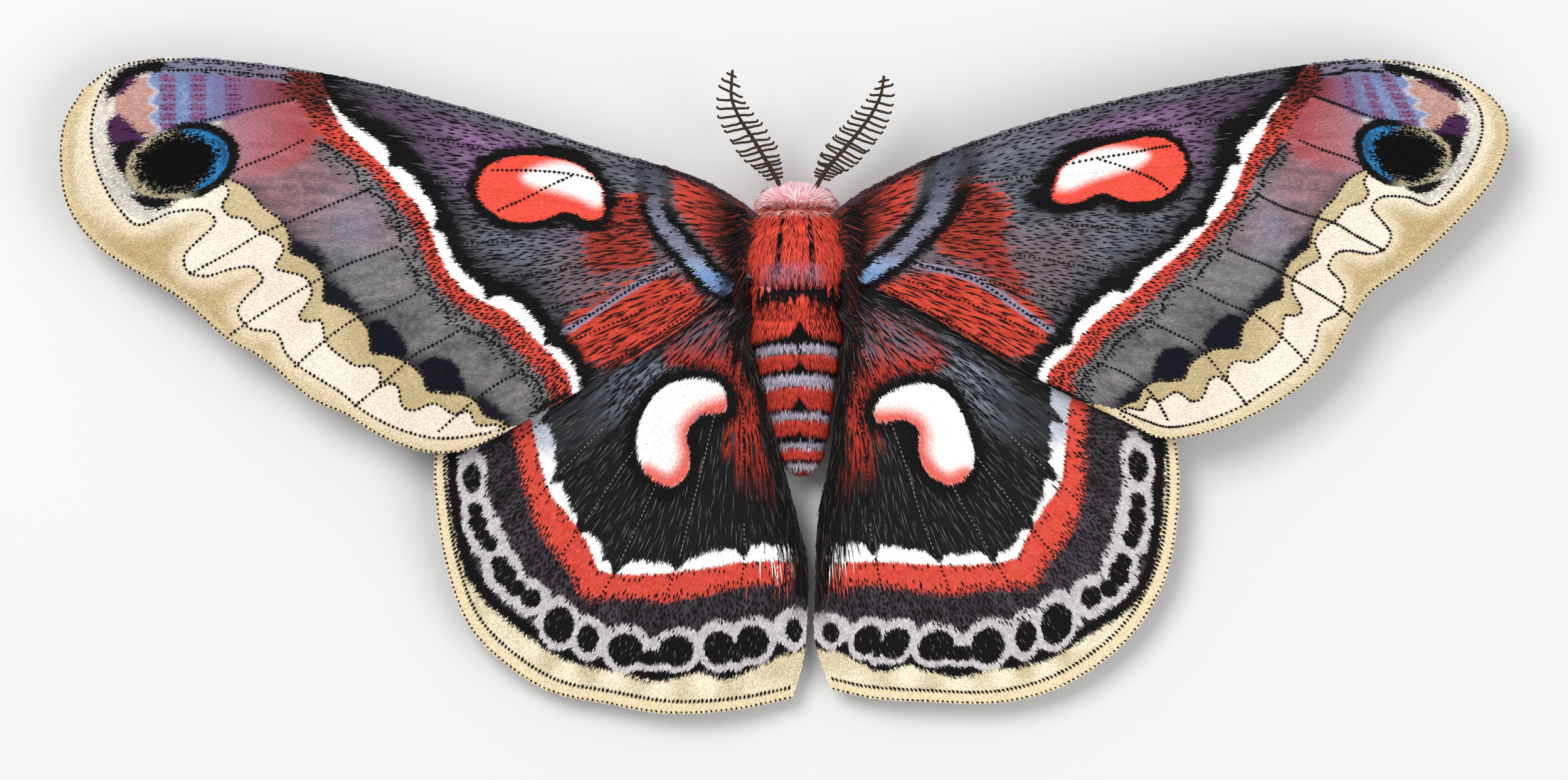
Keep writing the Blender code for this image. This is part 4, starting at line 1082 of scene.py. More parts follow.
def wing_tip(paint, f):
    """The wing tip's blue, rose and purple field."""
    x, y, pick, jag, grain = f["x"], f["y"], f["pick"], f["jag"], f["grain"]
    field = step(f["tip_field"], -0.12, 0.12) * step(x, -57.5, -59.0)
    paint.lay(blend((206, 200, 190), (232, 227, 216), grain), field, 1.0, 0.0, 0.0)
    ring = ellipse_field(EYESPOT, x, y)[0]
    paint.lay((120, 120, 124), field * step(ring, 1.7, 1.1) * 0.45 * step(pick, 0.2, 0.7))
    paint.lay(CREAM, field * step(y, 22.5, 20.5) * step(x, -66.0, -62.0))
    blush = step(f["blush"], -1.0, 0.6)
    tone = np.interp(x, [-58.0, -54.5, -50.0], [0.0, 0.6, 1.0])
    pink = blend((166, 132, 146), (168, 74, 78), tone)
    pink = between(pink, linear((190, 126, 132)), f["streak"][:, None] * 0.5)
    paint.lay(pink, blush, 1.0, 0.0, 0.0)
    stops = [-66.0, -61.0, -57.5, -54.5, -51.5, -49.0]
    ramp = np.array([linear(c) for c in (
        (128, 146, 188), (116, 130, 176), (120, 112, 152), (142, 84, 108), (128, 56, 62), (64, 34, 36)
    )])
    paint.lay(blend((184, 140, 130), (206, 164, 152), grain), step(f["rose"], -0.12, 0.12), 1.0)
    strip = step(f["strip"], -0.15, 0.15)
    blue = np.stack([np.interp(x, stops, ramp[:, k]) for k in range(3)], -1)
    paint.lay(blue, strip, 1.0, step(x, -54.0, -49.5) * 0.8, 0.0)
    paint.lay((168, 180, 210), strip * step(grain, 0.55, 0.9) * step(x, -57.0, -62.0) * 0.4)
    edge = strip * step(f["front"], 1.7, 1.4)
    paint.lay((126, 124, 144), edge * 0.85, fine=0.9)
    for middle in (-63.8, -60.6, -57.0):
        bar = step(np.abs(x - middle), 0.95, 0.6) * strip * step(f["front"], 1.4, 1.8)
        rows = step(np.abs((y / 1.0) % 1.0 - 0.5), 0.42, 0.24)
        paint.lay((136, 80, 120), bar * between(0.5, 1.0, rows) * 0.85)
        dots = step(np.hypot(((x - middle) / 0.5) % 1.0 - 0.5, (y / 0.5) % 1.0 - 0.5), 0.34, 0.2)
        paint.lay((58, 30, 52), bar * rows * dots * 0.8)
    paint.lay((206, 208, 226), step(np.abs(f["strip"]), 0.2, 0.08) * step(x, -63.9, -64.6) * 0.55, 1.0)
    for key in ("purple_front", "purple_rear"):
        paint.lay((74, 38, 78), step(f[key] + jag * 0.6, -0.2, 0.2), 0.8, 0.3)
    for key in ("tip_mark", "crescent_side", "crescent_rear"):
        paint.lay(INK, step(f[key] + jag * 0.4, -0.2, 0.08), 0.8)


def eyespot(paint, f):
    """The round spot near the wing tip: tan ring, blue crescent and black heart."""
    jag, pick = f["jag"], f["pick"]
    ring, across, _ = ellipse_field(EYESPOT, f["x"], f["y"])
    core, _, _ = ellipse_field(EYESPOT_CORE, f["x"], f["y"])
    inner_side = step(across, -0.8, 1.4)
    rim = between(1.06, 1.16, inner_side)
    paint.lay(INK, step(ring + jag * 0.05, rim, rim - 0.04) * between(0.55, 1.0, inner_side), 1.0, 0.0, 0.0)
    paint.lay(between(linear((176, 164, 134)), linear(INK), inner_side[:, None]), step(ring, 1.01, 0.97))
    paint.lay((46, 122, 178), step(ring, 0.95, 0.91) * step(across, 0.6, 1.6))
    paint.lay((14, 40, 72), step(ring, 0.95, 0.86) * step(across, 3.8, 5.2) * 0.8)
    paint.lay((6, 5, 6), step(core + jag * 0.3, 1.06, 1.0), 1.0)
    glint = step(core, 1.1, 1.0) * step(core, 0.72, 0.94) * (pick > 0.8) * step(across, 2.6, 1.0)
    paint.lay((120, 116, 100), glint)


def hind_markings(f):
    """The hindwing's markings."""
    f["jag"] = f["pick"] - 0.5
    f["streak"] = noise(f["s"] / 2.8, f["t"] / 0.4, 11)
    f["grain"] = noise(f["x"] / SPECK, f["y"] / SPECK, 12)
    paint = Paint(len(f["x"]), (28, 28, 29))
    hind_field(paint, f)
    hind_bands(paint, f)
    hind_hem(paint, f)
    kidney_spot(paint, f)
    inner_margin(paint, f)
    return paint


def hind_field(paint, f):
    """The hindwing's dark middle with blue-grey and red hairs near its root."""
    x, y, jag, streak = f["x"], f["y"], f["jag"], f["streak"]
    loose = (streak - 0.5) * 2.0 + jag * 0.6
    paint.lay(None, np.ones(len(x)), fine=0.25, long=0.7, ink=(82, 81, 79))
    slate = step(np.abs(f["slate"] + loose * 1.6), 3.4, 0.8) * between(0.1, 1.0, step(x, -22.0, -15.0))
    paint.lay(blend((56, 60, 68), (146, 152, 168), streak), slate, fine=1.0, long=0.5)
    paint.lay(None, step(slate, 0.2, 0.5), ink=INK)
    blush = step(f["blush"] + loose, -0.6, 0.5)
    fade = step(y, -11.0, -3.0)
    red = blend((44, 26, 28), (206, 64, 48), fade)
    red = between(red, linear((128, 40, 34)), streak[:, None] * 0.7 * fade[:, None])
    paint.lay(red, blush * step(y, -12.5, -8.5), fine=0.5, long=0.95, ink=INK)
    paint.lay((104, 106, 120), blush * step(y, 3.0, 6.0) * step(streak, 0.3, 0.55) * 0.9)


def chain_gap(x, y):
    """The distance from the nearest black spot of the chain, below 0 inside one."""
    gap = np.full(len(x), 99.0)
    for cx, cy, half_x, half_y in CHAIN_SPOTS:
        share = np.hypot((x - cx) / half_x, (y - cy) / half_y)
        gap = np.minimum(gap, (share - 1.0) * min(half_x, half_y))
    return gap


def hind_bands(paint, f):
    """The white and red bands, the dark hatching behind them and the chain of spots."""
    x, y, jag = f["x"], f["y"], f["jag"]
    past_red = step(f["red_end"] + jag * 0.8, -0.15, 0.15)
    charcoal = blend((44, 40, 45), (78, 72, 79), f["streak"])
    paint.lay(charcoal, past_red, 0.0, 0.4, 0.0, INK, 0.95)
    spike = 1.1 * step(f["vein"], 0.8, 0.0) + 0.5 * (noise(f["s"] / 0.5, f["t"] / 0.5, 16) - 0.3)
    band = step(f["white"] + jag * 0.3 - spike, -0.12, 0.12) * step(f["red"], 0.06, -0.06)
    paint.lay(WHITE, band, 0.7, 0.0, 0.0)
    paint.lay((170, 180, 196), band * step(y, -7.5, -5.0) * 0.8)
    red = step(f["red"] + jag * 0.15, -0.06, 0.06) * (1 - past_red)
    ticks = np.maximum(step(f["red"], 0.9, 0.3) * 0.6, step(f["red_end"], -1.2, -0.2) * 0.95)
    paint.lay(blend((208, 68, 56), (226, 88, 72), f["grain"]), red, 0.4, 0.0, 0.0, INK, ticks)
    gap = chain_gap(x, y)
    lumps = (noise(x / 0.9, y / 0.9, 17) - 0.5) * 0.5
    chain = step(f["chain"] + jag * 0.3, -0.1, 0.1) * step(gap + lumps + jag * 0.2, 1.15, 1.0)
    chain = np.maximum(chain, step(gap + jag * 0.16, 0.76, 0.66))
    shades = blend((186, 180, 184), (216, 210, 213), f["grain"])
    paint.lay(shades, chain, 0.8, 0.0, 0.0, tick=step(f["chain"], 0.9, 0.2) * 0.5)
    paint.lay(INK, step(gap + jag * 0.2, 0.06, -0.06), 0.5, 0.0, 0.0, (92, 89, 94), 0.3)


def hind_hem(paint, f):
    """The cream edge inside its dark scalloped line."""
    end = f["chain_end"] + f["jag"] * 0.5
    gap = chain_gap(f["x"], f["y"])
    paint.lay(INK, step(f["chain_end"] + f["jag"] * 0.3, -0.35, -0.15) * step(gap, 0.62, 0.72), 0.0, 0.0, 0.0)
    shade = noise(f["rim_s"] / 2.6, f["rim"] / 3.0, 15)
    cream = blend((206, 190, 152), (244, 234, 208), shade * 1.4)
    paint.lay(cream, step(end, 1.0, 1.2), 1.0, 0.0, 0.0)
    paint.lay((238, 220, 184), step(f["chain_end"], 1.1, 1.3) * step(f["rim"], 1.35, 1.15), 1.0)


def kidney_spot(paint, f):
    """The kidney-shaped white mark, rosy along its inner side."""
    paint.lay(INK, step(f["kidney"] + f["jag"] * 1.2, -1.9, -1.2), fine=0.0, long=0.0)
    inside = step(f["kidney"] + f["jag"] * 0.12, -0.08, 0.08)
    paint.lay(WHITE, inside, 0.6)
    paint.lay((244, 170, 164), inside * step(np.abs(f["kidney_inner"]), 1.9, 0.7) * 0.85)
    low = step(f["y"], -6.0, -8.6)
    paint.lay((228, 92, 80), inside * step(np.abs(f["kidney_inner"]), between(1.0, 1.7, low), 0.2) * 0.9)


def inner_margin(paint, f):
    """Black hair along the margin beside the abdomen, with red between."""
    margin = step(f["rear"] + f["jag"] * 1.6, 1.9, 1.0) * step(f["y"], -24.5, -21.0)
    paint.lay(INK, margin * 0.95, 0.0, 0.0, 0.4, (60, 56, 54))
    paint.lay((130, 40, 34), margin * (f["pick"] > 0.84) * step(f["y"], -16.0, -6.0) * 0.8)


def underside(tint):
    """The wing's lower face: the same markings, paler and browner."""
    grey = tint.mean(1, keepdims=True)
    soft = tint * 0.62 + grey * 0.16
    return soft + (linear(BROWN_SHADE) - soft) * 0.34


def wing_sheet(wing, tints, material):
    """The membrane as a sheet with its veins raised on both faces."""
    across, down = wing.size
    bm = bmesh.new()
    bmesh.ops.create_grid(bm, x_segments=across - 1, y_segments=down - 1, size=0.5)
    order = np.empty(across * down, int)
    for vert in bm.verts:
        i = round((vert.co.x + 0.5) * (across - 1))
        j = round((vert.co.y + 0.5) * (down - 1))
        order[vert.index] = i * down + j
    name = f"{wing.name}_sheet"
    mesh = mesh_of(bm, name)
    move_points(mesh, wing.places[order])
    if mesh.polygons[0].normal.z < 0:
        mesh.flip_normals()
    draft = in_scene(name, mesh)
    group = draft.vertex_groups.new(name="thickness")
    for index, weight in enumerate(wing.thickness[order] / RIDGE_THICKNESS):
        group.add([index], float(weight), "REPLACE")
    shell = draft.modifiers.new("thickness", "SOLIDIFY")
    shell.thickness = RIDGE_THICKNESS
    shell.offset = 0.0
    shell.vertex_group = group.name
    solid = applied(draft)
    points = mesh_points(solid)
    source = order[np.arange(len(points)) % len(order)]
    upper = points[:, 2] > wing.places[source, 2]
    tint = np.where(upper[:, None], tints["top"][source], tints["under"][source])
    move_points(solid, to_row(points))
    obj = finish_piece(solid, name, material, tint)
    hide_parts(wing.name)


def layer(spots, length, width, tint, lift, rise, swing):
    """One layer of a wing's coat: where its scales lie, their sizes and colours."""
    count = len(length)
    return {
        "spots": spots, "length": length, "width": width, "tint": tint, "lift": lift,
        "rise": np.full(count, rise), "swing": rng.normal(0.0, swing, count),
    }


def ground_layer(wing, face):
    count, usual, broad = SCALES[wing.kind, face]
    spots = wing.scatter(count)
    f = wing.read(spots)
    paint = wing.marks(f)
    length = usual * between(1.0, SHORT_SCALE_SHARE, paint.short) * rng.uniform(0.75, 1.3, count)
    length = np.minimum(length, 0.35 + f["rim"] * 1.6)
    width = broad * between(1.0, 1.5, paint.short) * rng.uniform(0.7, 1.25, count)
    tint = paint.tint * rng.normal(1.0, 0.07, (count, 1))
    return layer(spots, length, width, tint, rng.uniform(*SCALE_LIFT, count), 0.0, 0.13)


def stroke_layer(wing, kind):
    """Dark strokes over the coat, as dense as the markings ask."""
    pitch, way, usual, broad = STROKES[kind]
    spots = wing.spots(*wing.rows(pitch, way))
    f = wing.read(spots)
    paint = wing.marks(f)
    keep = rng.random(len(f["out"])) < getattr(paint, kind)
    spots = [part[keep] for part in spots]
    count = int(keep.sum())
    length = np.minimum(usual * rng.uniform(0.7, 1.25, count), 0.3 + f["rim"][keep] * 1.6)
    ink = paint.ink[keep]
    width = broad * rng.uniform(0.75, 1.2, count) * np.where(ink[:, 1] > 0.05, LIGHT_STROKE_SHARE, 1.0)
    return layer(spots, length, width, ink, np.full(count, 0.1), STROKE_RISE, 0.07)


def row_of_dots(wing, out, back, size=DOT_SIZE, long=1.15, colour=INK):
    count = len(out)
    tint = np.tile(linear(colour), (count, 1))
    sizes = size * rng.uniform(0.85, 1.15, count)
    return layer(wing.spots(out, back), sizes * long, sizes, tint, np.zeros(count), DOT_RISE, 0.1)


def dot_layers(wing):
    """Rows of small dark scales along the veins, the edges and the lines of the markings."""
    layers = []
    for share, start in wing.veins:
        reach = np.interp(share, wing.backs, wing.row_lengths)
        out = np.arange(max(start, 1.5 / reach), 1.0 - 0.5 / reach, DOT_PITCH / reach)
        back = np.full(len(out), share)
        f = wing.read(wing.spots(out, back))
        if wing.hind:
            drawn = (f["kidney"] < -0.2) & (f["chain_end"] < -0.1) & (f["chain"] < 0)
            dark = drawn & (f["white"] < -0.1) & (f["blush"] < -1.5) & (f["slate"] > 2.0)
            layers.append(row_of_dots(wing, out[dark], back[dark], *HAIR_DASH, PALE_HAIR))
            lit = drawn & ((f["white"] > -0.1) | (f["blush"] > -0.2))
            layers.append(row_of_dots(wing, out[lit], back[lit], VEIN_DOT_SIZE))
        else:
            clear = np.ones(len(out), bool)
            for key in ("spot", "strip", "rose", "blush", "purple_front", "purple_rear"):
                clear &= f[key] < -0.1
            clear &= ellipse_field(EYESPOT, f["x"], f["y"])[0] > 1.15
            clear &= f["band"] < -0.2
            clear &= f["basal"] > 2.0
            layers.append(row_of_dots(wing, out[clear], back[clear], VEIN_DOT_SIZE))
    outer = wing.grid(wing.places)[-1, :, :2]
    reach = np.concatenate([[0.0], np.cumsum(np.linalg.norm(np.diff(outer, axis=0), axis=1))])
    back = np.interp(np.arange(0.3, reach[-1], DOT_PITCH), reach, wing.backs)
    in_by = RIM_INSET / np.interp(back, wing.backs, wing.row_lengths)
    layers.append(row_of_dots(wing, 1.0 - in_by, back, VEIN_DOT_SIZE))
    if wing.hind:
        back = np.interp(np.arange(0.5, reach[-1] - 0.5, HEM_DASH_PITCH), reach, wing.backs)
        in_by = HEM_DASH_INSET / np.interp(back, wing.backs, wing.row_lengths)
        layers.append(row_of_dots(wing, 1.0 - in_by, back, *HEM_DASH))
        return layers
    out = np.arange(0.08, 0.99, DOT_PITCH / wing.row_lengths[0])
    back = FRONT_INSET / np.interp(out, wing.outs, wing.depths)
    layers.append(row_of_dots(wing, out, back, VEIN_DOT_SIZE))
    lines = [FORE_LINES[key] for key in FORE_DOTTED_LINES] + list(FORE_DOTS.values())
    for points in lines:
        line = smooth_line(points, 6)
        way = np.concatenate([[0.0], np.cumsum(np.linalg.norm(np.diff(line, axis=0), axis=1))])
        beads = np.arange(0.1, way[-1], LINE_DOT_PITCH)
        plan = np.column_stack([np.interp(beads, way, line[:, 0]), np.interp(beads, way, line[:, 1])])
        layers.append(row_of_dots(wing, *wing.find(plan)))
    return layers


def wing_coat(wing, face, material):
    """The coat on one face of a wing: scales lying outwards, dark strokes and rows of dots."""
    layers = [ground_layer(wing, face)] + [stroke_layer(wing, kind) for kind in STROKES]
    layers += dot_layers(wing)
    spots = [np.concatenate(parts) for parts in zip(*(one["spots"] for one in layers))]
    keys = ("length", "width", "tint", "lift", "rise", "swing")
    length, width, tint, lift, rise, swing = (np.concatenate([one[key] for one in layers]) for key in keys)
    i, j = spots[:2]
    grid = wing.grid(wing.places)
    along = unit(grid[i + 1, j] - grid[i, j])
    down = unit(grid[i, j + 1] - grid[i, j])
    up = unit(np.cross(along, down))
    up *= np.sign(up[:, 2:3])
    if face == "under":
        up = -up
        tint = underside(tint)
    along = unit(along * np.cos(swing)[:, None] + np.cross(up, along) * np.sin(swing)[:, None])
    rise = rise + wing.sample(wing.thickness, *spots) / 2
    roots = wing.sample(wing.places, *spots) + up * rise[:, None] - along * length[:, None] * 0.66
    uv = inset(np.column_stack([wing.sample(wing.fields[key], *spots) for key in ("out", "back")]))
    name = f"{wing.name}_scales_{face}"
    mesh = tuft_mesh(name, "scale", roots, along, up, length, width, lift, uv)
    finish_piece(mesh, name, material, np.repeat(tint, 4, 0))


def build_wings(sheet_material, scale_material):
    for name in WING_OUTLINES:
        wing = Wing(name)
        top = wing.marks(dict(wing.fields)).tint
        wing_sheet(wing, {"top": top, "under": underside(top)}, sheet_material)
        for face in ("top", "under"):
            wing_coat(wing, face, scale_material)
        if wing.hind:
            margin_hair(wing, scale_material)


def margin_hair(wing, material):
    """Long hair along a hindwing's inner margin, beside the abdomen."""
    count, (short, long), usual = MARGIN_HAIR
    spots = wing.scatter(count * MARGIN_TRIES)
    y = wing.sample(wing.places[:, 1], *spots)
    rear = wing.sample(wing.fields["rear"], *spots)
    kidney = wing.sample(wing.fields["kidney"], *spots)
    keep = (rear < rng.exponential(1.2, len(rear))) & (y > -20.0) & (kidney < -3.4)
    keep = np.flatnonzero(keep)[:count]
    spots = [part[keep] for part in spots]
    f = wing.read(spots)
    rear = f["rear"]
    paint = wing.marks(f)
    dark = (rear < 1.3) | (rng.random(len(keep)) < 0.45)
    black = np.where(rng.random((len(keep), 1)) < 0.2, linear((62, 54, 52)), linear(INK))
    tint = np.where(dark[:, None], black, paint.tint)
    grid = wing.grid(wing.places)
    i, j = spots[:2]
    along = unit(grid[i + 1, j] - grid[i, j])
    swing = rng.normal(0.0, 0.06, len(keep))
    along = unit(along + np.column_stack([swing, 0 * swing, 0 * swing]))
    up = np.tile([0.0, 0.0, 1.0], (len(keep), 1))
    roots = wing.sample(wing.places, *spots) + up * 0.12
    length = rng.uniform(short, long, len(keep)) * step(roots[:, 1], -24.0, -17.0) + 0.3
    width = usual * rng.uniform(0.7, 1.2, len(keep))
    lift = rng.uniform(0.1, 0.6, len(keep))
    uv = inset(np.column_stack([f["out"], f["back"]]))
    name = f"{wing.name}_margin_hair"
    mesh = tuft_mesh(name, "hair", roots, along, up, length, width, lift, uv)
    finish_piece(mesh, name, material, np.repeat(tint, 5, 0))


# Body


def round_body(bm, middle, half, squareness, shrink):
    """An ovoid lying along Y, inside its solid by the coat's depth."""
    made = bmesh.ops.create_uvsphere(bm, u_segments=56, v_segments=36, radius=1.0)
    for vert in made["verts"]:
        x, z, y = vert.co.x, -vert.co.y, vert.co.z
        radius = math.hypot(x, z)
        fuller = radius**squareness / radius if radius > 1e-6 else 0.0
        vert.co = (
            middle[0] + x * fuller * (half[0] - shrink),
            middle[1] + y * (half[1] - shrink),
            middle[2] + z * fuller * (half[2] - shrink),
        )


def turned_abdomen():
    """The abdomen's rings turned about its axis, each stepping in behind the one before."""
    front = ABDOMEN_SEGMENTS[0][1]
    length = ABDOMEN_FRONT_Y - ABDOMEN_TIP_Y
    rings = [(0.0, 0.0), (0.0, front * 0.8), (0.5, front * 0.97)]
    for y, half in ABDOMEN_SEGMENTS:
        along = ABDOMEN_FRONT_Y - y
        rings += [(along - 1.2, half + 0.12), (along - 0.4, half + 0.05), (along, half - 0.1)]
        rings += [(along + 0.2, half - SEGMENT_STEP)]
    rings += [(length - 0.95, 1.9), (length - 0.3, 1.15), (length - 0.1, 0.0)]
    bm = bmesh.new()
    line = [bm.verts.new((max(half - ABDOMEN_COAT, 0.0), 0.0, -along)) for along, half in rings]
    edges = [bm.edges.new(pair) for pair in zip(line, line[1:])]
    bmesh.ops.spin(
        bm, geom=line + edges, axis=(0, 0, 1), cent=(0, 0, 0), angle=2 * math.pi, steps=40, use_merge=True
    )
    bmesh.ops.remove_doubles(bm, verts=bm.verts, dist=1e-3)
    pitch = math.atan2(ABDOMEN_FRONT_Z - ABDOMEN_TIP_Z, length)
    laid = (
        Matrix.Translation((BODY_X - 0.15, ABDOMEN_FRONT_Y, ABDOMEN_FRONT_Z))
        @ Matrix.Rotation(math.radians(ABDOMEN_YAW_DEG), 4, "Z")
        @ Matrix.Rotation(math.radians(-90.0) + pitch, 4, "X")
        @ Matrix.Diagonal((1.0, ABDOMEN_HEIGHT_SHARE, 1.0, 1.0))
    )
    bmesh.ops.transform(bm, matrix=laid, verts=bm.verts)
    return bm


def leg_line(pair, side):
    return Edge([(BODY_X + side * out, y, z, radius) for out, y, z, radius in LEGS[pair]])


def limbs_mesh():
    """The legs, with their feet's small joints, and the two mouth palps."""
    limbs = strand_curve("limbs", 4)
    share = np.linspace(0, 1, 60)
    waist = (np.abs(np.sin(share * np.pi * TARSUS_JOINTS)) < 0.28) & (share > TARSUS_FROM)
    for side in (-1, 1):
        for pair in LEGS:
            line = leg_line(pair, side).at(share)
            radii = np.maximum(line[:, 3] * (1.0 - 0.22 * waist) - LEG_COAT, 0.16)
            add_strand(limbs, line[:, :3], radii)
        ends = [np.array((HEAD_MIDDLE[0] + side * PALP_OUT, *end)) for end in (PALP_ROOT, PALP_TIP)]
        places = [between(*ends, way) for way in (0.0, 0.6, 1.0)]
        add_strand(limbs, places, [radius - 0.15 for radius in PALP_RADII])
    return baked(limbs)


def one_skin(draft):
    remesh = draft.modifiers.new("skin", "REMESH")
    remesh.mode = "VOXEL"
    remesh.voxel_size = SKIN_VOXEL
    soften = draft.modifiers.new("soften", "SMOOTH")
    soften.factor = 0.5
    soften.iterations = 4


def body_skin(material):
    """One skin over the head, thorax, abdomen, legs and palps, with no seam."""
    bm = turned_abdomen()
    bm.from_mesh(limbs_mesh())
    round_body(bm, THORAX_MIDDLE, THORAX_HALF, THORAX_SQUARENESS, THORAX_COAT)
    round_body(bm, COLLAR_MIDDLE, COLLAR_HALF, THORAX_SQUARENESS, THORAX_COAT)
    round_body(bm, HEAD_MIDDLE, HEAD_HALF, HEAD_SQUARENESS, HEAD_COAT)
    bmesh.ops.recalc_face_normals(bm, faces=bm.faces)
    mesh = baked(mesh_of(bm, "flesh"), one_skin)
    points = mesh_points(mesh)
    points[:, 2] = np.maximum(points[:, 2], 0.02)
    move_points(mesh, points)
    normals = mesh_points(mesh, "normal")
    mesh.calc_loop_triangles()
    triangles = np.empty(len(mesh.loop_triangles) * 3, np.int32)
    mesh.loop_triangles.foreach_get("vertices", triangles)
    regions = leg_places(points)
    tint = body_markings(points, normals, regions, np.full(len(points), 0.5))
    move_points(mesh, to_row(points))
    skin = finish_piece(mesh, "body_skin", material, tint)
    nodes = ["head", "thorax", "abdomen", "palp_left", "palp_right"]
    nodes += [f"leg_{pair}_{side}" for pair in LEGS for side in ("left", "right")]
    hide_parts(*nodes)
    return points, normals, triangles.reshape(-1, 3), regions


def leg_places(points):
    """For each place the leg that it is on, or -1, and its share along that leg."""
    leg = np.full(len(points), -1)
    share = np.zeros(len(points))
    nearest = np.full(len(points), 9.0)
    for number, (side, pair) in enumerate(LEG_ORDER):
        line = leg_line(pair, side).at(np.linspace(0, 1, LEG_STOPS))
        gap = np.linalg.norm(points[:, None] - line[None, :, :3], axis=-1) - line[None, :, 3]
        best = gap.argmin(1)
        value = gap[np.arange(len(points)), best]
        on_leg = (value < ON_LEG_GAP) & (value < nearest) & (best > HIP_STOPS)
        leg[on_leg] = number
        share[on_leg] = best[on_leg] / (LEG_STOPS - 1)
        nearest = np.minimum(nearest, value)
    return {"leg": leg, "share": share}


def body_markings(points, normals, regions, pick):
    """The colours over the whole body. pick is a random number for each tuft."""
    paint = Paint(len(points), RED)
    abdomen_markings(paint, points, normals, pick)
    thorax_markings(paint, points, normals, pick)
    head_markings(paint, points, pick)
    leg_markings(paint, regions, pick)
    return paint.tint


def thorax_markings(paint, points, normals, pick):
    """Red fur with dark strokes and the painted shade of two grooves, painted light where it meets the hood,
    a lilac veil and a black fringe behind.
    """
    x, y, z = points.T
    over = step(y + (pick - 0.5) * 0.8, 9.2, 9.8)
    top = step(normals[:, 2], 0.05, 0.4)
    paint.lay((238, 86, 70), over)
    paint.lay((248, 108, 90), over * (pick > 0.9))
    paint.lay((84, 26, 24), over * (pick < 0.15))
    # Painted shade: two dark lines down the back of the thorax, as of grooves in the fur.
    left_groove = np.interp(y, [12.4, 18.3], [-0.75, -0.1])
    right_groove = np.interp(y, [12.4, 18.3], [2.95, 2.6])
    groove = np.minimum(np.abs(x - left_groove), np.abs(x - right_groove))
    broad = np.interp(y, [11.0, 13.0, 15.5, 18.6], [0.45, 0.42, 0.4, 0.16])
    groove_shade = step(groove, broad, broad * 0.5) * step(y, 18.9, 18.3) * step(y, 11.0, 11.8)
    paint.lay(INK, over * top * groove_shade * (pick < 0.86))
    # Painted light: a paler band where the thorax meets the hood, over the shade in that crease.
    paint.lay((255, 146, 130), over * step(y, 17.7, 18.5) * (pick > 0.15))
    side = step(normals[:, 2], 0.05, -0.25) * step(z, 5.0, 6.5)
    paint.lay(DARK_BROWN, over * side * (pick < 0.75))
    veil = step(y, 13.7, 12.7) * step(y, 10.2, 10.8) * top * step(np.abs(x - 0.9), 3.6, 2.4)
    paint.lay((200, 132, 156), veil * (pick < 0.62))
    paint.lay((140, 108, 134), veil * (pick < 0.3))
    paint.lay(INK, veil * (pick < 0.1))
    level = y + 0.05 * (x - ABDOMEN_MIDDLE_X) ** 2 + (pick - 0.5) * 1.5 + 0.3 * np.sin(x * 7.3)
    paint.lay(INK, step(level, 12.6, 11.2) * step(level, 9.4, 9.6) * top * step(np.sin(x * 9.0), 0.2, 0.7))
    fringe = step(level, 11.2, 10.9) * step(level, 9.1, 9.5) * top
    notch = step(np.abs(x - 1.9), 0.7, 0.2) * step(y, 10.3, 9.6)
    paint.lay(INK, fringe * (1 - notch) * step(np.abs(x - ABDOMEN_MIDDLE_X), 5.2, 3.8))
    under = step(normals[:, 2], -0.1, -0.6)
    paint.lay((190, 104, 88), over * under * (pick > 0.4))


def head_markings(paint, points, pick):
    """A pale pink hood with fine pink strokes, redder low on the face."""
    y, z = points[:, 1], points[:, 2]
    hood = step(y + (pick - 0.5) * 1.1, 18.35, 18.75)
    paint.lay((244, 212, 217), hood)
    paint.lay((238, 148, 158), hood * (pick < 0.32))
    paint.lay((255, 246, 244), hood * (pick > 0.8))
    paint.lay((214, 92, 84), hood * step(z, 6.4, 4.4) * (pick < 0.75))


def leg_markings(paint, regions, pick):
    """Furry red legs, whose feet are banded dark and pale."""
    on_leg = (regions["leg"] >= 0) * 1.0
    share = regions["share"]
    foot = on_leg * step(share, TARSUS_FROM, TARSUS_FROM + 0.08)
    ring = np.abs(np.sin(share * np.pi * TARSUS_JOINTS))
    paint.lay((206, 70, 54), on_leg)
    paint.lay((128, 38, 32), on_leg * (pick < 0.25))
    paint.lay((214, 172, 160), foot * step(ring, 0.3, 0.6))
    paint.lay((66, 34, 30), foot * step(ring, 0.35, 0.15))


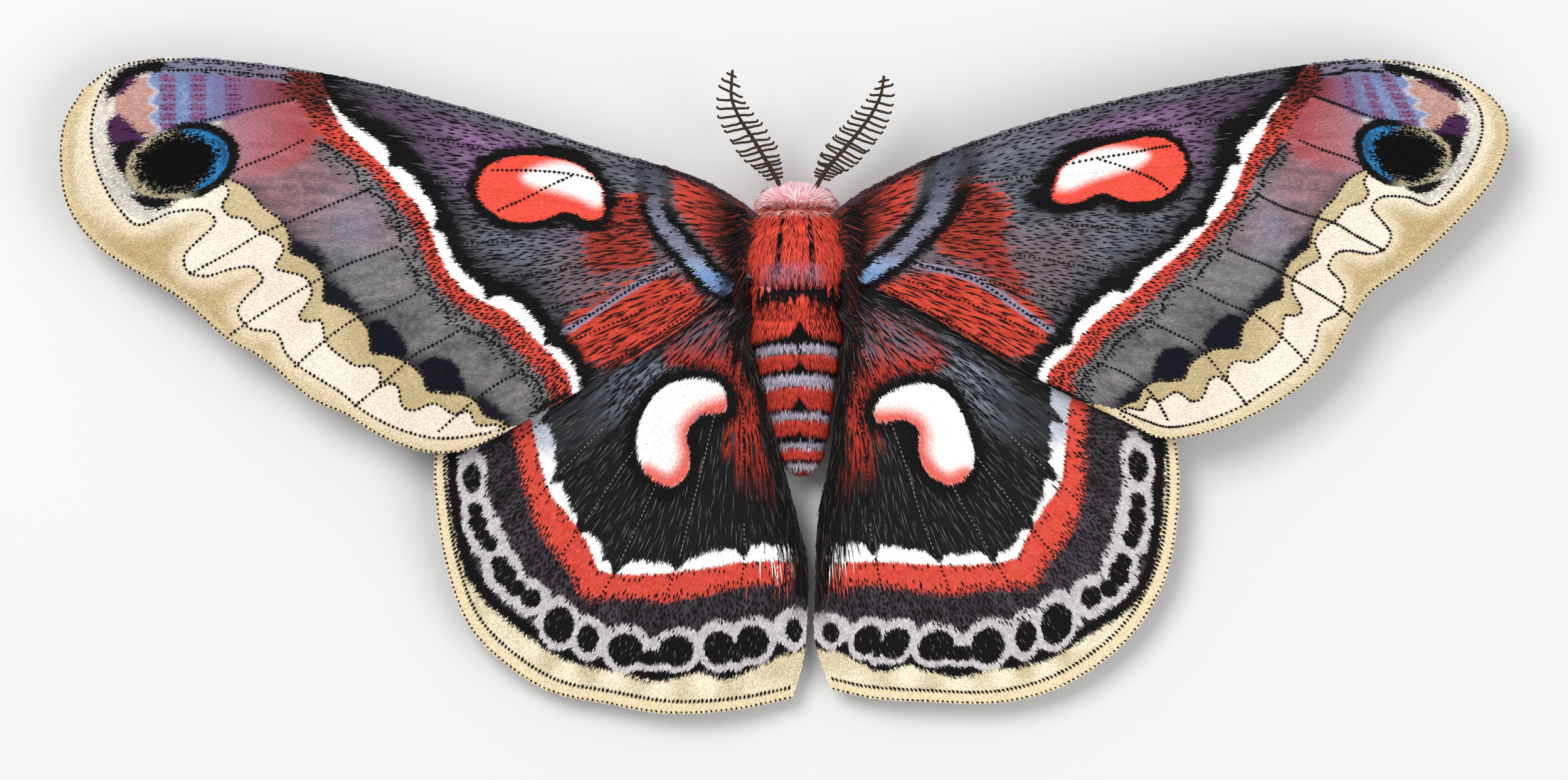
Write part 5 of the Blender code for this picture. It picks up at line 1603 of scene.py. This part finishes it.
def abdomen_markings(paint, points, normals, pick):
    """Red, black and lilac rings, with a black peak on each ring's middle."""
    x, y, _ = points.T
    paint.lay((200, 66, 52), np.ones(len(x)))
    paint.lay((126, 36, 32), (pick < 0.2) * 1.0)
    fore = step(y, 5.2, 6.0)
    paint.lay((224, 76, 60), fore)
    dusk = 0.26 + 0.34 * step(x, 2.2, 3.8)
    paint.lay((112, 36, 32), fore * (pick < dusk))
    paint.lay(INK, fore * (pick < dusk * 0.45) * 0.9)
    level = y + 0.035 * (x - ABDOMEN_MIDDLE_X) ** 2 + (pick - 0.5) * 0.35
    for high, low, colour in ABDOMEN_RINGS:
        ring = step(level, high + 0.1, high - 0.06) * step(level, low - 0.1, low + 0.06)
        paint.lay(colour, ring)
        if colour == LILAC:
            paint.lay((206, 200, 212), ring * (pick > 0.75))
            paint.lay(INK, ring * step(level, low + 0.34, low + 0.1) * (pick < 0.55))
    beside = np.abs(x - ABDOMEN_MIDDLE_X)
    paint.lay(INK, step(beside, 0.5, 0.2) * step(y, 5.0, 4.9) * step(y, 3.6, 4.0) * (pick < 0.7))
    for base, peak, broad in ABDOMEN_PEAKS:
        share = np.clip((peak - y) / (peak - base), 0, 1) ** 1.5
        middle = step(beside, broad * share + 0.16, broad * share - 0.1) * (share > 0.02)
        paint.lay(INK, middle * (y > base) * (normals[:, 2] > 0))
    belly = step(normals[:, 2], -0.25, -0.75) * step(y, 10.5, 9.0)
    paint.lay((222, 196, 186), belly * 0.8)
    spots = step(np.abs(beside - 1.5), 0.55, 0.3)
    paint.lay(INK, belly * spots * step(np.abs(((y + 2.0) / 3.4) % 1 - 0.5), 0.2, 0.1))


def even_spots(points, normals, triangles, weights, count):
    """Places on the skin with its normal there and the corner nearest, even by weight."""
    sums = np.cumsum(weights)
    drawn = (np.arange(count) + rng.random(count)) / count * sums[-1]
    chosen = np.minimum(np.searchsorted(sums, drawn), len(weights) - 1)
    a, b = rng.random((2, count))
    fold = a + b > 1
    a, b = np.where(fold, 1 - a, a), np.where(fold, 1 - b, b)
    shares = np.column_stack([1 - a - b, a, b])[..., None]
    corners = triangles[chosen]
    return (points[corners] * shares).sum(1), unit((normals[corners] * shares).sum(1)), corners[:, 0]


def eye_place(side):
    return np.array((HEAD_MIDDLE[0] + side * EYE_OUT, EYE_Y, EYE_Z))


def body_fur(skin, material):
    """Tufts over the skin, laid back along the body and down each leg."""
    points, normals, triangles, regions = skin
    corners = points[triangles]
    edges = corners[:, 1:] - corners[:, :1]
    area = np.linalg.norm(np.cross(edges[:, 0], edges[:, 1]), axis=1)
    middle = corners.mean(1)
    on_leg = regions["leg"][triangles[:, 0]] >= 0
    head = (middle[:, 1] > HEAD_FROM_Y) & ~on_leg
    abdomen = (middle[:, 1] < ABDOMEN_TO_Y) & ~on_leg
    parts = [
        ("leg", "leg_coat", on_leg & (regions["share"][triangles[:, 0]] <= 0.97) & (middle[:, 2] > 0.15)),
        ("head", "pale_coat", head),
        ("abdomen", "banded_coat", abdomen),
        ("thorax", "red_coat", ~on_leg & ~head & ~abdomen),
    ]
    for name, side in (("left", -1), ("right", 1)):
        off = middle - eye_place(side)
        gap = np.linalg.norm(off, axis=1)
        over = head & (gap < EYE_RADIUS + 1.1) & (off[:, 2] > gap * 0.6)
        parts.append((f"brow_{name}", "pale_coat", over))
    for part, slot, mask in parts:
        count, (short, long), broad, stand = FUR[part.split("_")[0]]
        roots, up, corner = even_spots(points, normals, triangles, area * mask, count)
        bare = np.zeros(count, bool)
        for side in (-1, 1):
            bare |= np.linalg.norm(roots - eye_place(side), axis=1) < EYE_RADIUS + 0.12
        roots, up, corner = roots[~bare], up[~bare], corner[~bare]
        here = {key: value[corner] for key, value in regions.items()}
        flow = fur_flow(part, roots, here)
        length = rng.uniform(short, long, len(roots)) * fur_length(part, roots)
        stand = rng.normal(stand, stand * 0.3, len(roots)) + more_stand(part, roots)
        width = broad * rng.uniform(0.7, 1.3, len(roots))
        fur_piece(part, roots, up, flow, length, width, stand, here, material)


def fur_piece(part, roots, up, flow, length, width, stand, here, material):
    """One piece of fur: tufts from their roots along the flow, at an angle from the skin."""
    count = len(roots)
    flow = unit(flow + rng.normal(0.0, 0.11, (count, 3)))
    flow = unit(flow - up * (flow * up).sum(1, keepdims=True))
    angle = np.radians(stand)[:, None]
    along = unit(flow * np.cos(angle) + up * np.sin(angle))
    middle = roots + flow * (length * 0.7)[:, None]
    tint = body_markings(middle, up, here, rng.random(count)) * rng.normal(1.0, 0.08, (count, 1))
    uv = skin_unwrap(roots, here)
    mesh = tuft_mesh(f"fur_{part}", "hair", roots - up * 0.03, along, up, length, width, -length * 0.1, uv)
    points = mesh_points(mesh)
    points[:, 2] = np.maximum(points[:, 2], 0.03 * MM)
    move_points(mesh, points)
    finish_piece(mesh, f"fur_{part}", material, np.repeat(tint, 5, 0))


def fur_flow(part, roots, regions):
    """The lie of the coat: back along the body, outwards on the face, down the legs."""
    flow = np.tile([0.0, -1.0, -0.05], (len(roots), 1))
    beside = roots[:, 0] - BODY_X
    if part == "thorax":
        flow[:, 0] = beside * np.interp(roots[:, 1], [13.0, 18.5], [0.0, 0.05])
        flow[:, 0] += np.sign(beside) * 0.22 * step(np.abs(beside), 3.6, 4.8)
    if part == "head":
        away = unit(roots - np.array(HEAD_CROWN)) + (0.0, 0.25, 0.0)
        rear = step(roots[:, 1], 20.1, 19.3)[:, None]
        flow = between(away, flow + np.column_stack([beside * 0.12, 0 * beside, 0 * beside]), rear)
        for side in (-1, 1):
            off = roots - eye_place(side)
            gap = np.linalg.norm(off, axis=1)
            near = step(gap, EYE_RADIUS + 1.2, EYE_RADIUS + 0.2) * step(off[:, 2], 1.3, 0.7)
            flow = between(flow, off / gap[:, None], (near * 0.85)[:, None])
    if part.startswith("brow"):
        flow = unit(roots - np.array(HEAD_CROWN)) * (1.0, 1.0, 0.3)
    if part == "leg":
        for number, (side, pair) in enumerate(LEG_ORDER):
            line = leg_line(pair, side)
            mine = regions["leg"] == number
            share = regions["share"][mine]
            ahead = line.at(np.minimum(share + 0.03, 1.0))[:, :3]
            flow[mine] = ahead - line.at(np.maximum(share - 0.03, 0.0))[:, :3]
    return unit(flow)


def more_stand(part, roots):
    """Degrees more for the hood's rear edge, over the neck, and for the thorax's sides."""
    if part == "head":
        return 26.0 * step(roots[:, 1], 19.9, 19.2) * step(roots[:, 2], 6.8, 7.6)
    if part == "thorax":
        return 9.0 * step(np.abs(roots[:, 0] - BODY_X), 3.4, 4.6)
    return 0.0


def fur_length(part, roots):
    """Shorter fur on the face and the feet."""
    if part == "leg":
        return np.clip(roots[:, 2] / 4.0, 0.45, 1.0)
    if part == "head":
        hood_end = step(roots[:, 1], 19.8, 19.1) * step(roots[:, 2], 6.8, 7.6)
        return between(0.5, 1.0, step(roots[:, 2], 4.6, 7.0)) + 0.5 * hood_end
    if part == "abdomen":
        return between(0.8, 1.1, step(roots[:, 1], -7.5, -5.0))
    if part == "thorax":
        cheek = step(roots[:, 1], 16.8, 18.0) * step(roots[:, 2], 6.4, 5.2)
        return between(0.55, 1.0, step(roots[:, 1], 11.6, 13.4)) * between(1.0, 0.5, cheek)
    return np.ones(len(roots))


def skin_unwrap(roots, regions):
    """A place on the skin's own unwrap: the body rolled out, and a strip for each leg."""
    turn = np.arctan2(roots[:, 0] - BODY_X, roots[:, 2] - 5.5) / (2 * np.pi) + 0.5
    along = (roots[:, 1] + 10.0) / 34.0
    body = np.column_stack([inset(turn), along * 0.56 + 0.42])
    leg = np.column_stack([
        inset((regions["leg"] + regions["share"]) / len(LEG_ORDER)),
        (roots[:, 0] * 0.37 + roots[:, 2] * 0.61) % 1.0 * 0.36 + 0.02,
    ])
    return np.where((regions["leg"] >= 0)[:, None], leg, body)


def shoulder_hair(side_name, side, material):
    """Dark hair fanned from the thorax's side over the wings' roots."""
    count, (short, long), broad = SIDE_HAIR
    y = rng.uniform(10.4, 19.2, count)
    round_share = np.sqrt(np.clip(1 - ((y - THORAX_MIDDLE[1]) / THORAX_HALF[1]) ** 2, 0, 1))
    half = np.maximum(THORAX_HALF[0] * round_share**THORAX_SQUARENESS, 4.9)
    x = BODY_X + side * half * rng.uniform(1.0, 1.07, count)
    z = wing_height(x, y, False) + rng.uniform(-0.1, 0.25, count)
    rear = step(y, 18.6, 12.0)
    flow = np.column_stack([side * between(0.95, 0.4, rear), between(-0.25, -0.9, rear), -0.05 + 0 * y])
    up = np.tile(unit(np.array([side * 0.3, 0.0, 1.0])), (count, 1))
    length = rng.uniform(short, long, count)
    pick = rng.random((count, 1))
    tint = np.where(pick < 0.08, linear((132, 44, 36)), np.where(pick < 0.5, linear(DARK_BROWN), linear(INK)))
    flow = unit(flow + rng.normal(0.0, 0.12, (count, 3)))
    roots = np.column_stack([x, y, z])
    here = {"leg": np.full(count, -1), "share": np.zeros(count)}
    width = broad * rng.uniform(0.7, 1.3, count)
    lift = rng.uniform(-0.3, 0.25, count)
    name = f"shoulder_hair_{side_name}"
    mesh = tuft_mesh(name, "hair", roots, flow, up, length, width, lift, skin_unwrap(roots, here))
    finish_piece(mesh, name, material, np.repeat(tint, 5, 0))


# Feelers, eyes and claws


def build_antenna(side_name, material):
    """A feather-like feeler with fine curled branches."""
    line = Edge([(*place, 0.0) for place in ANTENNA_SHAFTS[side_name]])
    shares = np.linspace(0, 1, SHAFT_STOPS)
    places = line.at(shares)
    places[:, 2] = between(ANTENNA_ROOT_Z, ANTENNA_TIP_Z, shares)
    beads = 1.0 + 0.1 * np.sin(np.arange(SHAFT_STOPS) * np.pi / 1.5)
    shaft = strand_curve(f"antenna_{side_name}_feather", 2)
    add_strand(shaft, places, between(*SHAFT_RADII, shares) * beads)
    branches = strand_curve("branches", 1)
    pairs = ANTENNA_PAIRS[side_name]
    for order in np.linspace(0, 1, pairs):
        share = np.interp(order, *BRANCH_STARTS) + float(rng.uniform(-0.006, 0.006))
        here = np.array([np.interp(share, shares, axis) for axis in places.T])
        ahead = np.array([np.interp(min(share + 0.02, 1), shares, axis) for axis in places.T])
        forward = Vector(ahead - here).normalized()
        for side in (-1, 1):
            point = Vector(here)
            stops = [point]
            turn = side * -90.0 + ANTENNA_LEAN_DEG[side_name] + float(rng.normal(0, 3))
            outer = side == (-1 if side_name == "left" else 1)
            reach = np.interp(order, *BRANCH_LENGTHS) * float(rng.uniform(0.95, 1.08))
            reach *= OUTER_BRANCH if outer else INNER_BRANCH
            for number in range(BRANCH_STEPS):
                bend = side * (np.interp(number, *BRANCH_BENDS) + float(rng.normal(0, 5)))
                heading = Matrix.Rotation(math.radians(turn + bend), 3, "Z") @ forward
                point = point + heading * (reach / BRANCH_STEPS)
                stops.append(point)
            add_strand(branches, stops, between(*BRANCH_RADII, np.linspace(0, 1, BRANCH_STEPS + 1)))
    bm = bmesh.new()
    bm.from_mesh(baked(shaft))
    bm.from_mesh(baked(branches))
    mesh = mesh_of(bm, "feather")
    obj = plain_piece(mesh, f"antenna_{side_name}_feather", material, FEELER_BROWN)
    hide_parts(f"antenna_{side_name}")


def build_eye(side_name, side, material):
    """A compound eye with a small dome for each facet."""
    bm = bmesh.new()
    bmesh.ops.create_icosphere(bm, subdivisions=4, radius=EYE_RADIUS)
    bmesh.ops.poke(bm, faces=bm.faces, offset=0.0)
    for vert in bm.verts:
        if len(vert.link_faces) == 3:
            vert.co = vert.co.normalized() * (EYE_RADIUS + 0.025)
    bmesh.ops.translate(bm, vec=eye_place(side), verts=bm.verts)
    mesh = mesh_of(bm, "facets")
    obj = plain_piece(mesh, f"eye_{side_name}_facets", material, EYE_BROWN)
    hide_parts(f"eye_{side_name}")


def build_claws(material):
    """Two small claws at the end of each foot."""
    claws = strand_curve("claws", 1)
    for side, pair in LEG_ORDER:
        line = leg_line(pair, side)
        end = line.at(0.985)[:3]
        heading = unit(end - line.at(0.9)[:3])
        across = unit(np.cross(heading, (0.0, 0.0, 1.0)))
        for spread in (-1, 1):
            stops = [
                end + heading * ahead + across * spread * aside + (0, 0, rise)
                for ahead, aside, rise in CLAW_STOPS
            ]
            add_strand(claws, stops, CLAW_RADII)
    plain_piece(baked(claws), "claws", material, CLAW_BROWN)


# Camera, light and floor


def build_stage():
    bm = bmesh.new()
    bmesh.ops.create_grid(bm, x_segments=1, y_segments=1, size=FLOOR_SIZE)
    floor = in_scene("floor", mesh_of(bm, "floor"))
    paper = bpy.data.materials.new("floor_paper")
    paper.use_nodes = True
    shader = paper.node_tree.nodes["Principled BSDF"]
    shader.inputs["Base Color"].default_value = (FLOOR_TONE, FLOOR_TONE, FLOOR_TONE, 1.0)
    shader.inputs["Roughness"].default_value = 0.9
    shader.inputs["Specular IOR Level"].default_value = 0.1
    floor.data.materials.append(paper)

    world = bpy.data.worlds.new("studio")
    world.use_nodes = True
    sky = world.node_tree.nodes["Background"]
    sky.inputs["Color"].default_value = (1.0, 1.0, 1.0, 1.0)
    sky.inputs["Strength"].default_value = SKY_STRENGTH
    bpy.context.scene.world = world
    for name, (place, size, power) in LAMPS.items():
        lamp = bpy.data.lights.new(name, "AREA")
        lamp.energy = power
        lamp.size = size
        obj = in_scene(name, lamp)
        obj.location = place
        obj.rotation_euler = (-Vector(place)).to_track_quat("-Z", "Y").to_euler()


def build_camera():
    """Straight above, so that the wings lie in the frame as in the picture."""
    lens = bpy.data.cameras.new("camera")
    lens.lens = CAMERA_LENS
    lens.sensor_width = SENSOR
    lens.clip_start = 0.01
    camera = in_scene("camera", lens)
    distance = PHOTO_WIDTH_MM / SENSOR * CAMERA_LENS
    x = PHOTO_CENTRE[0] - PLAN_CENTRE[0]
    y = PHOTO_CENTRE[1] - PLAN_CENTRE[1]
    camera.location = (x * MM, y * MM, (WING_LEVEL + distance) * MM)
    bpy.context.scene.camera = camera
    bpy.context.scene.view_settings.view_transform = "Standard"


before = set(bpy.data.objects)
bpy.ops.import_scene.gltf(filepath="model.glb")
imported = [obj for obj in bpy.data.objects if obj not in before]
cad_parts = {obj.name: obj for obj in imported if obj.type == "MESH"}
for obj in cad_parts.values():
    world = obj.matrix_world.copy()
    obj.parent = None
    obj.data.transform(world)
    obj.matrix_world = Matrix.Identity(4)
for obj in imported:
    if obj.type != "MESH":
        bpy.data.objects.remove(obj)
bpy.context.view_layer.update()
build_camera()
build_stage()
sheet_finish = node_material("wing_membrane", 0.7, grain=0.12, bump=0.4)
scale_finish = node_material("wing_scales", 0.62, grain=0.08)
fur_finish = node_material("fur", 0.7, grain=0.1)
skin_finish = node_material("skin", 0.75, grain=0.15, bump=0.6)
feeler_finish = node_material("feeler", 0.55, grain=0.2, bump=0.3)
build_wings(sheet_finish, scale_finish)
skin_data = body_skin(skin_finish)
body_fur(skin_data, fur_finish)
for side_label, side_sign in (("left", -1), ("right", 1)):
    shoulder_hair(side_label, side_sign, fur_finish)
    build_antenna(side_label, feeler_finish)
    build_eye(side_label, side_sign, eye_material())
build_claws(feeler_finish)
